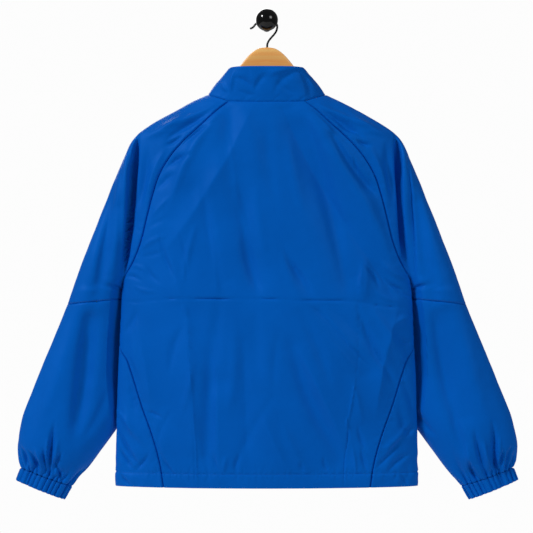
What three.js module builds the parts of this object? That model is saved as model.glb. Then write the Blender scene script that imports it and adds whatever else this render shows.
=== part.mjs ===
// A windbreaker jacket on a wooden hanger, which hangs by its wire hook from a ball-ended wall peg.
// Millimetres, +Z up. The origin is the centre of the peg's flat back face, against the wall.
// The back of the jacket faces -Y and its zipped front faces +Y, towards the wall.
// Every piece of cloth is a thin wall over a grid of points, and neighbours keep a small gap at their seam.
import * as THREE from "three";

// Driving dimensions
const HANGER_Y = -80; // the plane of the hanger and of its hook
const UNDERARM = { x: 250, z: -481 }; // where each sleeve leaves the body as a tube of its own
const WALL = 1.5; // shell cloth
const HEM_WALL = 2.4; // the turned hem, two layers
const COLLAR_WALL = 2.4; // stand collar, outer cloth and facing
const SEAM = 0.25; // each piece stops this short of its seam line
const EDGE = 0.75; // how round a flat tube of cloth is at its edges, where 1 is an ellipse
const ZIP_HALF = 3.2; // the front edges stand this far from the centre line
const HEM_Z = -834.5;
const HEM_STITCH_Z = -809.5;
const NECK_SAG = { back: 1.6, front: 25 }; // how far the neck edge drops from the raglan seam to the centre

// Sections of the body: half width, depth behind and before its side edges, and how far these stand off the hanger
const BODY = [
  { z: -127, halfWidth: 97, back: 32, front: 32, side: 0 },
  { z: -131.8, halfWidth: 106, back: 34, front: 34, side: 0 },
  { z: -150, halfWidth: 144, back: 40, front: 38, side: 0 },
  { z: -169, halfWidth: 178.5, back: 43, front: 41, side: 0 },
  { z: -183.5, halfWidth: 204, back: 45, front: 42, side: 0 },
  { z: -194, halfWidth: 220, back: 46, front: 43, side: 0 },
  { z: -202, halfWidth: 231, back: 46.5, front: 43.5, side: 0 },
  { z: -214, halfWidth: 238, back: 47, front: 44, side: -0.5 },
  { z: -247, halfWidth: 243, back: 49, front: 46, side: -1 },
  { z: -287, halfWidth: 246, back: 51, front: 47, side: -2 },
  { z: -349, halfWidth: 249, back: 53, front: 48, side: -3.5 },
  { z: -429, halfWidth: 255, back: 54, front: 49.5, side: -5 },
  { z: -497, halfWidth: 261, back: 54, front: 50, side: -6 },
  { z: -582, halfWidth: 265, back: 54, front: 50, side: -6 },
  { z: -637, halfWidth: 267.5, back: 53, front: 49, side: -6 },
  { z: -702, halfWidth: 269.5, back: 52, front: 48, side: -5 },
  { z: -759, halfWidth: 271, back: 51, front: 47, side: -5 },
  { z: -834.5, halfWidth: 271.6, back: 50, front: 46, side: -5 },
];

// The top of each sleeve as a tube beside the body: outer and inner edge, half thickness, forward lean of the inner edge
const SLEEVE_TOP = [
  { z: -127, outer: 97, inner: 85, half: 3, lean: 0 },
  { z: -169, outer: 178.5, inner: 166, half: 4, lean: 0 },
  { z: -202, outer: 231, inner: 218, half: 5, lean: 0 },
  { z: -214, outer: 241.5, inner: 229, half: 9, lean: 0 },
  { z: -227, outer: 249, inner: 234, half: 14, lean: 0 },
  { z: -253, outer: 259.5, inner: 236.5, half: 20, lean: 0 },
  { z: -287, outer: 274.5, inner: 238, half: 25, lean: 1 },
  { z: -349, outer: 299, inner: 240.5, half: 30, lean: 3 },
  { z: -411, outer: 323.5, inner: 243, half: 33, lean: 6 },
  { z: -457, outer: 341, inner: 245, half: 34.5, lean: 11 },
  { z: -487, outer: 351, inner: 247, half: 35, lean: 14 },
];

// Rows of the upper sleeve, from the neck to the underarm: raglan seam behind, shoulder ridge, raglan seam in front
const RAGLAN = [
  { row: 0, backX: 68.4, backZ: -145.5, ridgeX: 106, ridgeZ: -131.8, frontX: 66, frontZ: -167 },
  { row: 1, backX: 92, backZ: -163.8, ridgeX: 140, ridgeZ: -148, frontX: 88, frontZ: -183 },
  { row: 2, backX: 115.7, backZ: -185.9, ridgeX: 178.5, ridgeZ: -169, frontX: 110, frontZ: -202 },
  { row: 3, backX: 135.4, backZ: -203.8, ridgeX: 207, ridgeZ: -185.5, frontX: 130, frontZ: -220 },
  { row: 4, backX: 152.1, backZ: -219.7, ridgeX: 228, ridgeZ: -199.7, frontX: 146, frontZ: -236 },
  { row: 5, backX: 175.9, backZ: -248.3, ridgeX: 241.5, ridgeZ: -214, frontX: 166, frontZ: -261 },
  { row: 6, backX: 193.4, backZ: -278.8, ridgeX: 256, ridgeZ: -244, frontX: 181, frontZ: -289 },
  { row: 7, backX: 204.8, backZ: -312.9, ridgeX: 272, ridgeZ: -281, frontX: 192, frontZ: -321 },
  { row: 8, backX: 215.4, backZ: -353.8, ridgeX: 289.5, ridgeZ: -325, frontX: 203, frontZ: -359 },
  { row: 9, backX: 224.8, backZ: -392.4, ridgeX: 308.5, ridgeZ: -373, frontX: 213, frontZ: -395 },
  { row: 10, backX: 238.8, backZ: -429, ridgeX: 328, ridgeZ: -422.5, frontX: 226, frontZ: -429 },
  { row: 11, backX: 253.6, backZ: -455, ridgeX: 341, ridgeZ: -458, frontX: 235, frontZ: -455 },
];
const RAGLAN_TIP = { backZ: -471, ridgeX: 346.3, ridgeZ: -473, frontX: 242, frontZ: -471 };

// Rows of the sleeve below the underarm, each a closed ring: outer and inner point, half thickness, forward lean
const SLEEVE = [
  { row: 0, outerX: 350, outerZ: -484, innerX: 250, innerZ: -481, half: 35, lean: 14 },
  { row: 1, outerX: 358.5, outerZ: -508.5, innerX: 237, innerZ: -497, half: 35.5, lean: 20 },
  { row: 2, outerX: 378, outerZ: -557, innerX: 214, innerZ: -563, half: 36, lean: 26 },
  { row: 3, outerX: 399.5, outerZ: -609, innerX: 211, innerZ: -627, half: 36, lean: 27 },
  { row: 4, outerX: 421.5, outerZ: -663, innerX: 237, innerZ: -687, half: 36, lean: 22 },
  { row: 5, outerX: 441.5, outerZ: -715, innerX: 265, innerZ: -726, half: 35, lean: 14 },
  { row: 6, outerX: 451.5, outerZ: -765, innerX: 297, innerZ: -770, half: 32, lean: 6 },
  { row: 7, outerX: 450, outerZ: -787, innerX: 323, innerZ: -805, half: 26, lean: 2 },
  { row: 8, outerX: 444.5, outerZ: -802.5, innerX: 350, innerZ: -836, half: 16, lean: 0 },
];
const SLEEVE_SEAM_ROW = 1; // the seam across the upper arm
const CUFF_END = { outerX: 453, outerZ: -824.5, innerX: 363.8, innerZ: -860.5, half: 15 };
const CUFF_PLEATS = 24;
const CUFF_PLEAT_DEPTH = 2.2;
const PUFFS = 16; // larger gathers of the sleeve above its cuff
const PUFF_DEPTH = 4;
const BODY_CLEARANCE = 2.6; // between the sleeve and the front that it hangs against
const EDGE_CLEARANCE = 5; // how far past the side edge of the body the sleeve turns back

// The side seam of the back: it leaves the side edge and slants across the back to the hem
const SIDE_SEAM = [
  { z: -577, x: 264.5 },
  { z: -619, x: 247 },
  { z: -693, x: 223 },
  { z: -740, x: 205.8 },
  { z: -793, x: 190.8 },
  { z: -834.5, x: 184.2 },
];

// The largest soft folds, as troughs below 0 and ridges above it: from one point to another, half width, depth
const BACK_FOLDS = [
  { x1: 68, z1: -162, x2: 240, z2: -437, width: 22, depth: 5 },
  { x1: 118, z1: -212, x2: 176, z2: -297, width: 14, depth: -5 },
  { x1: 62, z1: -197, x2: 150, z2: -457, width: 26, depth: -5 },
  { x1: -70, z1: -167, x2: -16, z2: -467, width: 20, depth: -3.5 },
  { x1: -128, z1: -307, x2: -84, z2: -467, width: 20, depth: -3 },
  { x1: -92, z1: -182, x2: -215, z2: -387, width: 22, depth: 4 },
  { x1: -128, z1: -527, x2: -88, z2: -647, width: 24, depth: -4 },
  { x1: -88, z1: -647, x2: -108, z2: -777, width: 22, depth: -4 },
  { x1: 48, z1: -587, x2: 132, z2: -782, width: 24, depth: -5 },
  { x1: 96, z1: -517, x2: 180, z2: -627, width: 16, depth: -3 },
  { x1: 0, z1: -557, x2: 6, z2: -757, width: 40, depth: 3 },
];
const FRONT_FOLDS = [
  { x1: 90, z1: -237, x2: 205, z2: -427, width: 22, depth: 4 },
  { x1: -90, z1: -237, x2: -205, z2: -427, width: 22, depth: 4 },
  { x1: 60, z1: -297, x2: 110, z2: -557, width: 24, depth: -4 },
  { x1: -64, z1: -287, x2: -100, z2: -597, width: 26, depth: -4 },
  { x1: 130, z1: -577, x2: 120, z2: -787, width: 24, depth: -4 },
  { x1: -140, z1: -597, x2: -128, z2: -777, width: 24, depth: -4 },
];
const SLEEVE_FOLDS = [
  { x1: 268, z1: -327, x2: 300, z2: -497, width: 12, depth: -4 },
  { x1: 318, z1: -527, x2: 352, z2: -707, width: 18, depth: -5 },
  { x1: -268, z1: -337, x2: -304, z2: -497, width: 12, depth: -4 },
  { x1: -312, z1: -537, x2: -334, z2: -717, width: 18, depth: -5 },
];

// Collar
const COLLAR_TOP = { halfWidth: 68.5, back: 46, backZ: -84.5, sideZ: -88, frontZ: -128, squareness: 3 };
const COLLAR_SWELL = 2.5;

// Hanger, hook and peg
const WOOD_HALF = 6;
const WOOD_CORNER = 3;
const WOOD_TOP = [
  { x: 0, z: -46.5 },
  { x: 12.4, z: -48 },
  { x: 22.7, z: -53.1 },
  { x: 31, z: -59.9 },
  { x: 38.2, z: -67.6 },
  { x: 47.5, z: -79.3 },
  { x: 66, z: -104 },
  { x: 84, z: -125 },
  { x: 104, z: -139 },
  { x: 144, z: -153.5 },
  { x: 178.5, z: -172.5 },
  { x: 204, z: -187.5 },
  { x: 224, z: -200.5 },
  { x: 230, z: -207 },
];
const WOOD_BOTTOM = [
  { x: 229, z: -220 },
  { x: 222, z: -224 },
  { x: 178, z: -203 },
  { x: 110, z: -169 },
  { x: 60, z: -139 },
  { x: 25, z: -119 },
  { x: 0, z: -113 },
];
const WIRE = { radius: 1.8, arcHalf: 19.6, arcRise: 16.6, arcX: -0.7, arcZ: -10.3, sides: 8 };
const PEG = { plateRadius: 9, plateThick: 4, rodRadius: 4.2, ballRadius: 20, ballY: -104 };

// Zip: tape behind the front edges, closed chain between them, slider at the collar and its pull
const ZIP = { tapeHalf: 16, tapeThick: 0.8, tapeDepth: 2.8, chainHalf: 2.9, chainProud: 0.4 };
const SLIDER = { z: -137, half: 4.2, tall: 11, thick: 2.5, gap: 0.3, archHalf: 3, archHole: 1.6, archThick: 1.6 };
const PULL = { bar: 0.6, ringHalf: 3.4, windowHalf: 1.9, window: 3.8, tabHalf: 2.8, length: 27, half: 0.6 };

// A function of one named column of a table, smooth between its rows and never past them.
function column(rows, along, name) {
  const sorted = [...rows].sort((a, b) => a[along] - b[along]);
  const t = sorted.map((r) => r[along]);
  const v = sorted.map((r) => r[name]);
  const step = t.slice(1).map((next, i) => (v[i + 1] - v[i]) / (next - t[i]));
  const slope = v.map((_, i) => {
    if (i === 0) return step[0];
    if (i === v.length - 1) return step[i - 1];
    if (step[i - 1] * step[i] <= 0) return 0;
    const before = t[i] - t[i - 1];
    const after = t[i + 1] - t[i];
    const [w1, w2] = [2 * after + before, after + 2 * before];
    return (w1 + w2) / (w1 / step[i - 1] + w2 / step[i]);
  });
  return (at) => {
    const here = Math.min(Math.max(at, t[0]), t[t.length - 1]);
    let i = 0;
    while (i < t.length - 2 && here > t[i + 1]) i += 1;
    const h = t[i + 1] - t[i];
    const s = (here - t[i]) / h;
    const [s2, s3] = [s * s, s * s * s];
    return (
      (2 * s3 - 3 * s2 + 1) * v[i] + (s3 - 2 * s2 + s) * h * slope[i] +
      (3 * s2 - 2 * s3) * v[i + 1] + (s3 - s2) * h * slope[i + 1]
    );
  };
}

// Every column of a table at once.
function table(rows, along) {
  const names = Object.keys(rows[0]).filter((name) => name !== along);
  const functions = names.map((name) => [name, column(rows, along, name)]);
  return (at) => Object.fromEntries(functions.map(([name, f]) => [name, f(at)]));
}

const bodyAt = table(BODY, "z");
const sleeveTopAt = table(SLEEVE_TOP, "z");
const sleeveAt = table(SLEEVE, "row");
const sideSeamAt = column(SIDE_SEAM, "z", "x");

// Half the thickness of a flat tube of cloth, as a share: 1 in its middle, 0 at its edges, below 0 outside them.
function pillow(u) {
  const inside = 1 - u * u;
  return inside >= 0 ? EDGE * Math.sqrt(inside) + (1 - EDGE) * inside : -EDGE * Math.sqrt(-inside);
}

// The larger of two heights, with the valley between them rounded.
const MEETING = 3;
const larger = (a, b) => (a + b + Math.hypot(a - b, MEETING)) / 2;

// Sum of the folds at a point of the upright plane: each is a rounded band along its line.
function relief(folds, x, z) {
  let sum = 0;
  for (const f of folds) {
    const [dx, dz] = [f.x2 - f.x1, f.z2 - f.z1];
    const s = Math.min(Math.max(((x - f.x1) * dx + (z - f.z1) * dz) / (dx * dx + dz * dz), 0), 1);
    const away = Math.hypot(x - f.x1 - s * dx, z - f.z1 - s * dz) / f.width;
    sum += f.depth * Math.exp(-away * away);
  }
  return sum;
}

// Folds fade out at the edges of the body, so that its outline keeps its shape.
const fade = (u) => Math.min(1, Math.max(0, (1 - Math.abs(u)) * 4));

// How far the body's cloth stands from the hanger's plane at x and z, behind (-1) or in front (1).
function bodyHeight(x, z, way) {
  const b = bodyAt(z);
  const u = Math.abs(x) / b.halfWidth;
  const folds = relief(way < 0 ? BACK_FOLDS : FRONT_FOLDS, x, z) * fade(u);
  return (way < 0 ? b.back : b.front) * pillow(u) + way * b.side + folds;
}

// The same for the top of a sleeve.
function sleeveTopHeight(x, z, way) {
  const s = sleeveTopAt(z);
  const t = (2 * Math.abs(x) - s.outer - s.inner) / (s.outer - s.inner);
  const lean = s.lean * Math.min(1.3, Math.max(0, (s.outer - Math.abs(x)) / (s.outer - s.inner)));
  return s.half * pillow(t) + way * lean + relief(SLEEVE_FOLDS, x, z) * fade(t);
}

const clothY = (x, z, way) => HANGER_Y + way * larger(bodyHeight(x, z, way), sleeveTopHeight(x, z, way));

// Each piece that comes in a pair is worked out on the +X side, with the folds of its own side, and the one of the
// -X side is then turned over. The side is 1 or -1.
// A point of the body's closed section at height z. The angle is 0 at the centre back, a quarter turn at the
// side edge and a half turn at the centre front.
function bodyPoint(angle, z, side) {
  const x = bodyAt(z).halfWidth * Math.sin(angle);
  const way = Math.cos(angle) >= 0 ? -1 : 1;
  return new THREE.Vector3(x, HANGER_Y + way * bodyHeight(side * x, z, way), z);
}
const bodyAngle = (x, z) => Math.asin(Math.min(1, x / bodyAt(z).halfWidth));

// A wall of cloth over a grid of outer points, whose rows run down and whose columns run round. Beyond the ends of
// a row the cloth goes on in the neighbour, and the points there give both pieces one direction at their seam.
function clothWall(outer, thick, beyond = () => []) {
  const [rows, cols] = [outer.length, outer[0].length];
  const inner = outer.map((row, i) =>
    row.map((point, j) => {
      const [first, last] = beyond(i);
      const before = j > 0 ? row[j - 1] : (first ?? point);
      const after = j < cols - 1 ? row[j + 1] : (last ?? point);
      const down = outer[Math.min(i + 1, rows - 1)][j].clone().sub(outer[Math.max(i - 1, 0)][j]);
      const normal = down.cross(after.clone().sub(before)).normalize();
      return point.clone().addScaledVector(normal, -thick(i, j));
    }),
  );
  const at = (layer, i, j) => (layer * rows + i) * cols + j;
  const index = [];
  const quad = (a, b, c, d) => index.push(a, b, c, a, c, d);
  for (let i = 0; i < rows - 1; i += 1) {
    for (let j = 0; j < cols - 1; j += 1) {
      quad(at(0, i, j), at(0, i + 1, j), at(0, i + 1, j + 1), at(0, i, j + 1));
      quad(at(1, i, j), at(1, i, j + 1), at(1, i + 1, j + 1), at(1, i + 1, j));
    }
    quad(at(0, i, 0), at(1, i, 0), at(1, i + 1, 0), at(0, i + 1, 0));
    quad(at(0, i, cols - 1), at(0, i + 1, cols - 1), at(1, i + 1, cols - 1), at(1, i, cols - 1));
  }
  for (let j = 0; j < cols - 1; j += 1) {
    quad(at(0, 0, j), at(0, 0, j + 1), at(1, 0, j + 1), at(1, 0, j));
    quad(at(0, rows - 1, j), at(1, rows - 1, j), at(1, rows - 1, j + 1), at(0, rows - 1, j + 1));
  }
  return solidFrom([...outer.flat(), ...inner.flat()], index);
}

function solidFrom(points, index) {
  const geometry = new THREE.BufferGeometry();
  geometry.setAttribute("position", new THREE.Float32BufferAttribute(points.flatMap((p) => [p.x, p.y, p.z]), 3));
  geometry.setIndex(index);
  return geometry;
}

// The same solid on the other side of the centre plane, with its faces still pointing out.
function mirrored(geometry) {
  const copy = geometry.clone();
  copy.scale(-1, 1, 1);
  const index = copy.getIndex();
  for (let i = 0; i < index.count; i += 3) {
    const second = index.getX(i + 1);
    index.setX(i + 1, index.getX(i + 2));
    index.setX(i + 2, second);
  }
  return copy;
}

// Shares from 0 to 1
const steps = (count) => Array.from({ length: count + 1 }, (_, k) => k / count);
const mix = (a, b, share) => a + (b - a) * share;

// Rows that the body and the sleeves share above the underarm, so that their seams have the same points
const SHARED_ROWS = [...RAGLAN.map((r) => r.row)];
const BODY_ROWS_BELOW = [UNDERARM.z, -497, -519, -547, -577, -608, -639, -670, -702, -733, -764, -792, HEM_STITCH_Z, HEM_Z];
const raglanAt = table(RAGLAN, "row");

// Where the side edge of the back lies, as an angle of the section at height z
function sideAngle(z) {
  if (z < SIDE_SEAM[0].z) return bodyAngle(sideSeamAt(z), z);
  const under = Math.PI - bodyAngle(UNDERARM.x, UNDERARM.z);
  return mix(under, Math.PI / 2, (UNDERARM.z - z) / (UNDERARM.z - SIDE_SEAM[0].z));
}

// How far an angle moves to leave half a seam gap on the cloth
const seamTurn = (angle, z) => SEAM / (bodyAt(z).halfWidth * Math.max(Math.abs(Math.cos(angle)), 0.16));

// A row of a body panel between two angles, and one more point past each end. The row sags by so much in its middle.
function panelRow(z, start, end, count, side, sagAt = () => 0) {
  return [-1 / count, ...steps(count), 1 + 1 / count].map((share) => {
    const angle = mix(start, end, share);
    return bodyPoint(angle, z - sagAt(angle), side);
  });
}

const BACK_COLUMNS = 22;
const FRONT_COLUMNS = 14;

// A wall over rows that have one more point past each end, with a thicker hem in its last two rows
function panelWall(rows) {
  const thick = (i) => (i >= rows.length - 2 ? HEM_WALL : WALL);
  return clothWall(rows.map((row) => row.slice(1, -1)), thick, (i) => [rows[i][0], rows[i].at(-1)]);
}

// The back: the same on both sides but for its folds, so half of each row comes from either side
function backPanel() {
  const row = (z, edge, sag) => {
    const angle = edge - seamTurn(edge, z);
    const low = (at) => sag * Math.max(0, 1 - (Math.sin(at) / Math.sin(angle)) ** 2);
    return panelRow(z, -angle, angle, BACK_COLUMNS, 1, sag > 0 ? low : undefined);
  };
  return panelWall([
    ...SHARED_ROWS.map((number) => {
      const { backX, backZ } = raglanAt(number);
      return row(backZ, bodyAngle(backX, backZ), NECK_SAG.back * Math.max(0, 1 - number / 2));
    }),
    row(RAGLAN_TIP.backZ, Math.PI / 2, 0),
    ...BODY_ROWS_BELOW.map((z) => row(z, sideAngle(z), 0)),
  ]);
}

// A front: from its raglan and side seam round to the zip
function frontPanel(side) {
  const row = (z, edge, sag) => {
    const [start, end] = [edge + seamTurn(edge, z), Math.PI - bodyAngle(ZIP_HALF, z - sag)];
    const low = (at) => sag * Math.max(0, 1 - (Math.sin(at) / Math.sin(start)) ** 2);
    return panelRow(z, start, end, FRONT_COLUMNS, side, sag > 0 ? low : undefined);
  };
  return panelWall([
    ...SHARED_ROWS.map((number) => {
      const { frontX, frontZ } = raglanAt(number);
      return row(frontZ, Math.PI - bodyAngle(frontX, frontZ), NECK_SAG.front * Math.max(0, 1 - number / 6));
    }),
    row(RAGLAN_TIP.frontZ, Math.PI - bodyAngle(RAGLAN_TIP.frontX, RAGLAN_TIP.frontZ), 0),
    ...BODY_ROWS_BELOW.map((z) => row(z, sideAngle(z), 0)),
  ]);
}

// Sleeves
const SLEEVE_HALF_COLUMNS = 10;

// Shares along half a sleeve row, closer together at its outer edge, and at both edges of a ring
const openShare = (k) => Math.sin((k * Math.PI) / 2);
const ringShare = (k) => (1 - Math.cos(k * Math.PI)) / 2;

// Half a row of the upper sleeve: from its raglan seam to the shoulder ridge, over the cloth of body and sleeve.
// The seam end lies on the body's own surface, and one point of that surface is given past it.
function openHalf(seamX, seamZ, ridgeX, ridgeZ, way, openness, side) {
  const bodyY = (x, z) => HANGER_Y + way * bodyHeight(side * x, z, way);
  const miss = bodyY(seamX, seamZ) - clothY(side * seamX, seamZ, way);
  const inward = new THREE.Vector3(seamX - 4, bodyY(seamX - 4, seamZ), seamZ);
  const row = steps(SLEEVE_HALF_COLUMNS).map((k) => {
    const share = mix(ringShare(k), openShare(k), openness);
    const [x, z] = [mix(seamX, ridgeX, share), mix(seamZ, ridgeZ, share)];
    const settle = Math.max(0, 1 - share / 0.15) ** 2;
    const y = k === 1 ? HANGER_Y : clothY(side * x, z, way) + miss * settle;
    return new THREE.Vector3(x, y, z);
  });
  return [inward, ...row];
}

// How far forward the inner side of a hanging sleeve has to be, to stay clear of the body's front and side edge
function clearOfBody(x, z, side) {
  const half = bodyAt(z).halfWidth;
  const from = Math.min(x - EDGE_CLEARANCE, half - 0.01);
  const past = Math.max(0, x - EDGE_CLEARANCE - half);
  return HANGER_Y + bodyHeight(side * from, z, 1) + BODY_CLEARANCE - 1.6 * past;
}

// Half a ring of the sleeve below the underarm, from its inner seam to its outer edge, behind (-1) or in front (1)
function ringHalf(s, way, columns, side, depthAt = () => 0) {
  const innerY = Math.max(HANGER_Y + s.lean, clearOfBody(s.innerX, s.innerZ, side) + 2);
  const row = steps(columns).map((k) => {
    const share = ringShare(k);
    const [x, z] = [mix(s.innerX, s.outerX, share), mix(s.innerZ, s.outerZ, share)];
    const middle = mix(innerY, HANGER_Y, 1 - (1 - share) ** 1.5);
    const folds = relief(SLEEVE_FOLDS, side * x, z) * fade(2 * share - 1);
    const half = s.half * pillow(2 * share - 1) + folds + depthAt(k);
    const y = middle + way * Math.max(half, 0);
    const seam = k === 0 ? way * SEAM : 0;
    return new THREE.Vector3(x, (way < 0 ? Math.max(y, clearOfBody(x, z, side)) : y) + seam, z);
  });
  return row;
}

// A whole row from its two halves, and one more point past each end
function openRow(back, front) {
  const forward = [...front].reverse();
  return [...back, ...forward.slice(1)];
}
function ringRow(back, front) {
  const row = [...back, ...[...front].reverse().slice(1)];
  return [row.at(-2), ...row, row[1]];
}

const sleeveWall = (rows) =>
  clothWall(rows.map((row) => row.slice(1, -1)), () => WALL, (i) => [rows[i][0], rows[i].at(-1)]);

function upperSleeve(side) {
  const open = SHARED_ROWS.map((number) => {
    const r = raglanAt(number);
    const openness = number > 10 ? 0.7 : 1;
    return openRow(
      openHalf(r.backX + SEAM, r.backZ, r.ridgeX, r.ridgeZ, -1, openness, side),
      openHalf(r.frontX + SEAM, r.frontZ, r.ridgeX, r.ridgeZ, 1, openness, side),
    );
  });
  const { backZ, ridgeX, ridgeZ, frontX, frontZ } = RAGLAN_TIP;
  const tipBack = openHalf(bodyAt(backZ).halfWidth + SEAM * 3, backZ, ridgeX, ridgeZ, -1, 0.35, side);
  for (const point of tipBack.slice(0, 3)) point.y += 1.5;
  const tip = openRow(tipBack, openHalf(frontX + SEAM * 2, frontZ, ridgeX, ridgeZ, 1, 0.35, side));
  const rings = [0, 0.5, SLEEVE_SEAM_ROW - 0.012].map((number) => {
    const s = sleeveAt(number);
    return ringRow(ringHalf(s, -1, SLEEVE_HALF_COLUMNS, side), ringHalf(s, 1, SLEEVE_HALF_COLUMNS, side));
  });
  return sleeveWall([...open, tip, ...rings]);
}

const LOWER_ROWS = [1.012, 1.5, 2, 2.6, 3.2, 3.8, 4.4, 5, 5.6, 6.2, 6.7, 7.2, 7.6, 7.985];

function lowerSleeve(side) {
  return sleeveWall(
    LOWER_ROWS.map((number) => {
      const s = sleeveAt(number);
      const gather = Math.max(0, (number - 6) / 2) ** 1.5;
      const puff = (k) => (Math.round(k * PUFFS) % 2 ? 1 : -1) * PUFF_DEPTH * gather * Math.sin(k * Math.PI) ** 0.5;
      return ringRow(ringHalf(s, -1, PUFFS, side, puff), ringHalf(s, 1, PUFFS, side, puff));
    }),
  );
}

// The elastic casing at the wrist, drawn up into small pleats
function cuff(side) {
  const top = sleeveAt(8);
  const pleat = (k) => {
    const out = Math.round(k * CUFF_PLEATS) % 2 ? 1 : -1;
    return out * CUFF_PLEAT_DEPTH * 0.5 * Math.min(1, Math.sin(k * Math.PI) * 3);
  };
  return sleeveWall(
    [0.012, 0.35, 0.7, 1].map((down) => {
      const s = Object.fromEntries(Object.keys(CUFF_END).map((name) => [name, mix(top[name], CUFF_END[name], down)]));
      s.lean = 0;
      return ringRow(ringHalf(s, -1, CUFF_PLEATS, side, pleat), ringHalf(s, 1, CUFF_PLEATS, side, pleat));
    }),
  );
}

// Collar: its lower edge stands on the neck edge of back, sleeves and fronts, its top is a squarer ring, and its
// sides swell a little between the two
const COLLAR_ROWS = 5;

// The neck edge of one side, from the centre back to the zip
function neckEdge(side) {
  const r = raglanAt(0);
  const onCloth = (x, z, way) => new THREE.Vector3(x, clothY(side * x, z, way), z);
  const sagged = (edge, sag, x, edgeX) => edge - sag * Math.max(0, 1 - (x / edgeX) ** 2);
  return [
    ...steps(6).map((k) => onCloth(r.backX * k, sagged(r.backZ, NECK_SAG.back, r.backX * k, r.backX), -1)),
    ...steps(5).slice(1).map((k) => {
      const share = openShare(k);
      const [x, z] = [mix(r.backX, r.ridgeX, share), mix(r.backZ, r.ridgeZ, share)];
      return k === 1 ? new THREE.Vector3(x, HANGER_Y, z) : onCloth(x, z, -1);
    }),
    ...steps(5).slice(1).map((k) => {
      const share = openShare(1 - k);
      return onCloth(mix(r.frontX, r.ridgeX, share), mix(r.frontZ, r.ridgeZ, share), 1);
    }),
    ...steps(5).slice(1).map((k) => {
      const x = mix(r.frontX, ZIP_HALF, k);
      return onCloth(x, sagged(r.frontZ, NECK_SAG.front, x, r.frontX), 1);
    }),
  ];
}

// The top edge of the collar at an angle from the centre back to the centre front
function collarTop(angle, frontDepth) {
  const power = 2 / COLLAR_TOP.squareness;
  const [s, c] = [Math.sin(angle), Math.cos(angle)];
  const depth = c > 0 ? -COLLAR_TOP.back : frontDepth;
  const z = c > 0
    ? mix(COLLAR_TOP.sideZ, COLLAR_TOP.backZ, Math.min(1, c * 2.5))
    : mix(COLLAR_TOP.sideZ, COLLAR_TOP.frontZ, (1 - Math.cos(-c * Math.PI)) / 2);
  return new THREE.Vector3(
    COLLAR_TOP.halfWidth * Math.max(s, 0) ** power,
    HANGER_Y + depth * Math.abs(c) ** power,
    z,
  );
}

function collar() {
  const half = (side) => {
    const base = neckEdge(side).map((p) => p.setZ(p.z + 0.4));
    const frontDepth = base.at(-1).y - HANGER_Y;
    return base.map((foot, k) => {
      const top = collarTop((k / (base.length - 1)) * Math.PI, frontDepth);
      if (k === base.length - 1) top.x = ZIP_HALF;
      const swell = COLLAR_SWELL * Math.sin((k / (base.length - 1)) * Math.PI);
      return steps(COLLAR_ROWS).map((share) => {
        const point = top.clone().lerp(foot, share);
        return point.setX(point.x + swell * Math.sin(share * Math.PI));
      });
    });
  };
  const left = half(-1).slice(1).reverse().map((column) => column.map((p) => p.setX(-p.x)));
  const columns = [...left, ...half(1)];
  const rows = steps(COLLAR_ROWS).map((_, i) => columns.map((c) => c[i]));
  return clothWall(rows, () => COLLAR_WALL);
}

// Zip tape and chain: one section carried up the centre front and the collar
function zip() {
  const neckZ = raglanAt(0).frontZ - NECK_SAG.front;
  const frontY = (z) => HANGER_Y + bodyHeight(0, Math.min(z, neckZ), 1);
  const section = [
    [-ZIP.tapeHalf, -ZIP.tapeDepth - ZIP.tapeThick],
    [ZIP.tapeHalf, -ZIP.tapeDepth - ZIP.tapeThick],
    [ZIP.tapeHalf, -ZIP.tapeDepth],
    [ZIP.chainHalf, -ZIP.tapeDepth],
    [ZIP.chainHalf, ZIP.chainProud],
    [-ZIP.chainHalf, ZIP.chainProud],
    [-ZIP.chainHalf, -ZIP.tapeDepth],
    [-ZIP.tapeHalf, -ZIP.tapeDepth],
  ];
  const heights = [...BODY_ROWS_BELOW].reverse().map((z) => (z === HEM_Z ? HEM_Z + 1 : z));
  for (const row of [11, 10, 9, 8, 7, 6, 5, 4, 3, 2, 1, 0]) {
    const { frontZ } = raglanAt(row);
    heights.push(frontZ - NECK_SAG.front * Math.max(0, 1 - row / 6));
  }
  heights.push(COLLAR_TOP.frontZ - 2);
  const points = heights.flatMap((z) => section.map(([x, d]) => new THREE.Vector3(x, frontY(z) + d, z)));
  const size = section.length;
  const index = [];
  for (let i = 0; i < heights.length - 1; i += 1) {
    for (let j = 0; j < size; j += 1) {
      const [a, b] = [i * size + j, i * size + ((j + 1) % size)];
      index.push(a, b, a + size, b, b + size, a + size);
    }
  }
  const cap = [[0, 1, 2], [0, 2, 3], [0, 3, 6], [0, 6, 7], [3, 4, 5], [3, 5, 6]];
  const last = (heights.length - 1) * size;
  for (const [a, b, c] of cap) {
    index.push(a, c, b);
    index.push(last + a, last + b, last + c);
  }
  return solidFrom(points, index);
}

// An outline in the plane of x and z, made a plate that reaches from y1 to y2
function plate(outline, y1, y2, holes = []) {
  const shape = new THREE.Shape(outline.map(([x, z]) => new THREE.Vector2(x, z)));
  for (const hole of holes) shape.holes.push(new THREE.Path(hole.map(([x, z]) => new THREE.Vector2(x, z))));
  const geometry = new THREE.ExtrudeGeometry(shape, { depth: Math.abs(y2 - y1), bevelEnabled: false });
  geometry.rotateX(Math.PI / 2);
  return geometry.translate(0, Math.max(y1, y2), 0);
}

const zipFaceY = HANGER_Y + bodyHeight(0, raglanAt(0).frontZ - NECK_SAG.front, 1) + ZIP.chainProud;
const sliderFaceY = zipFaceY + SLIDER.gap + SLIDER.thick;
const barY = sliderFaceY + 0.5 + PULL.bar;

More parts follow.
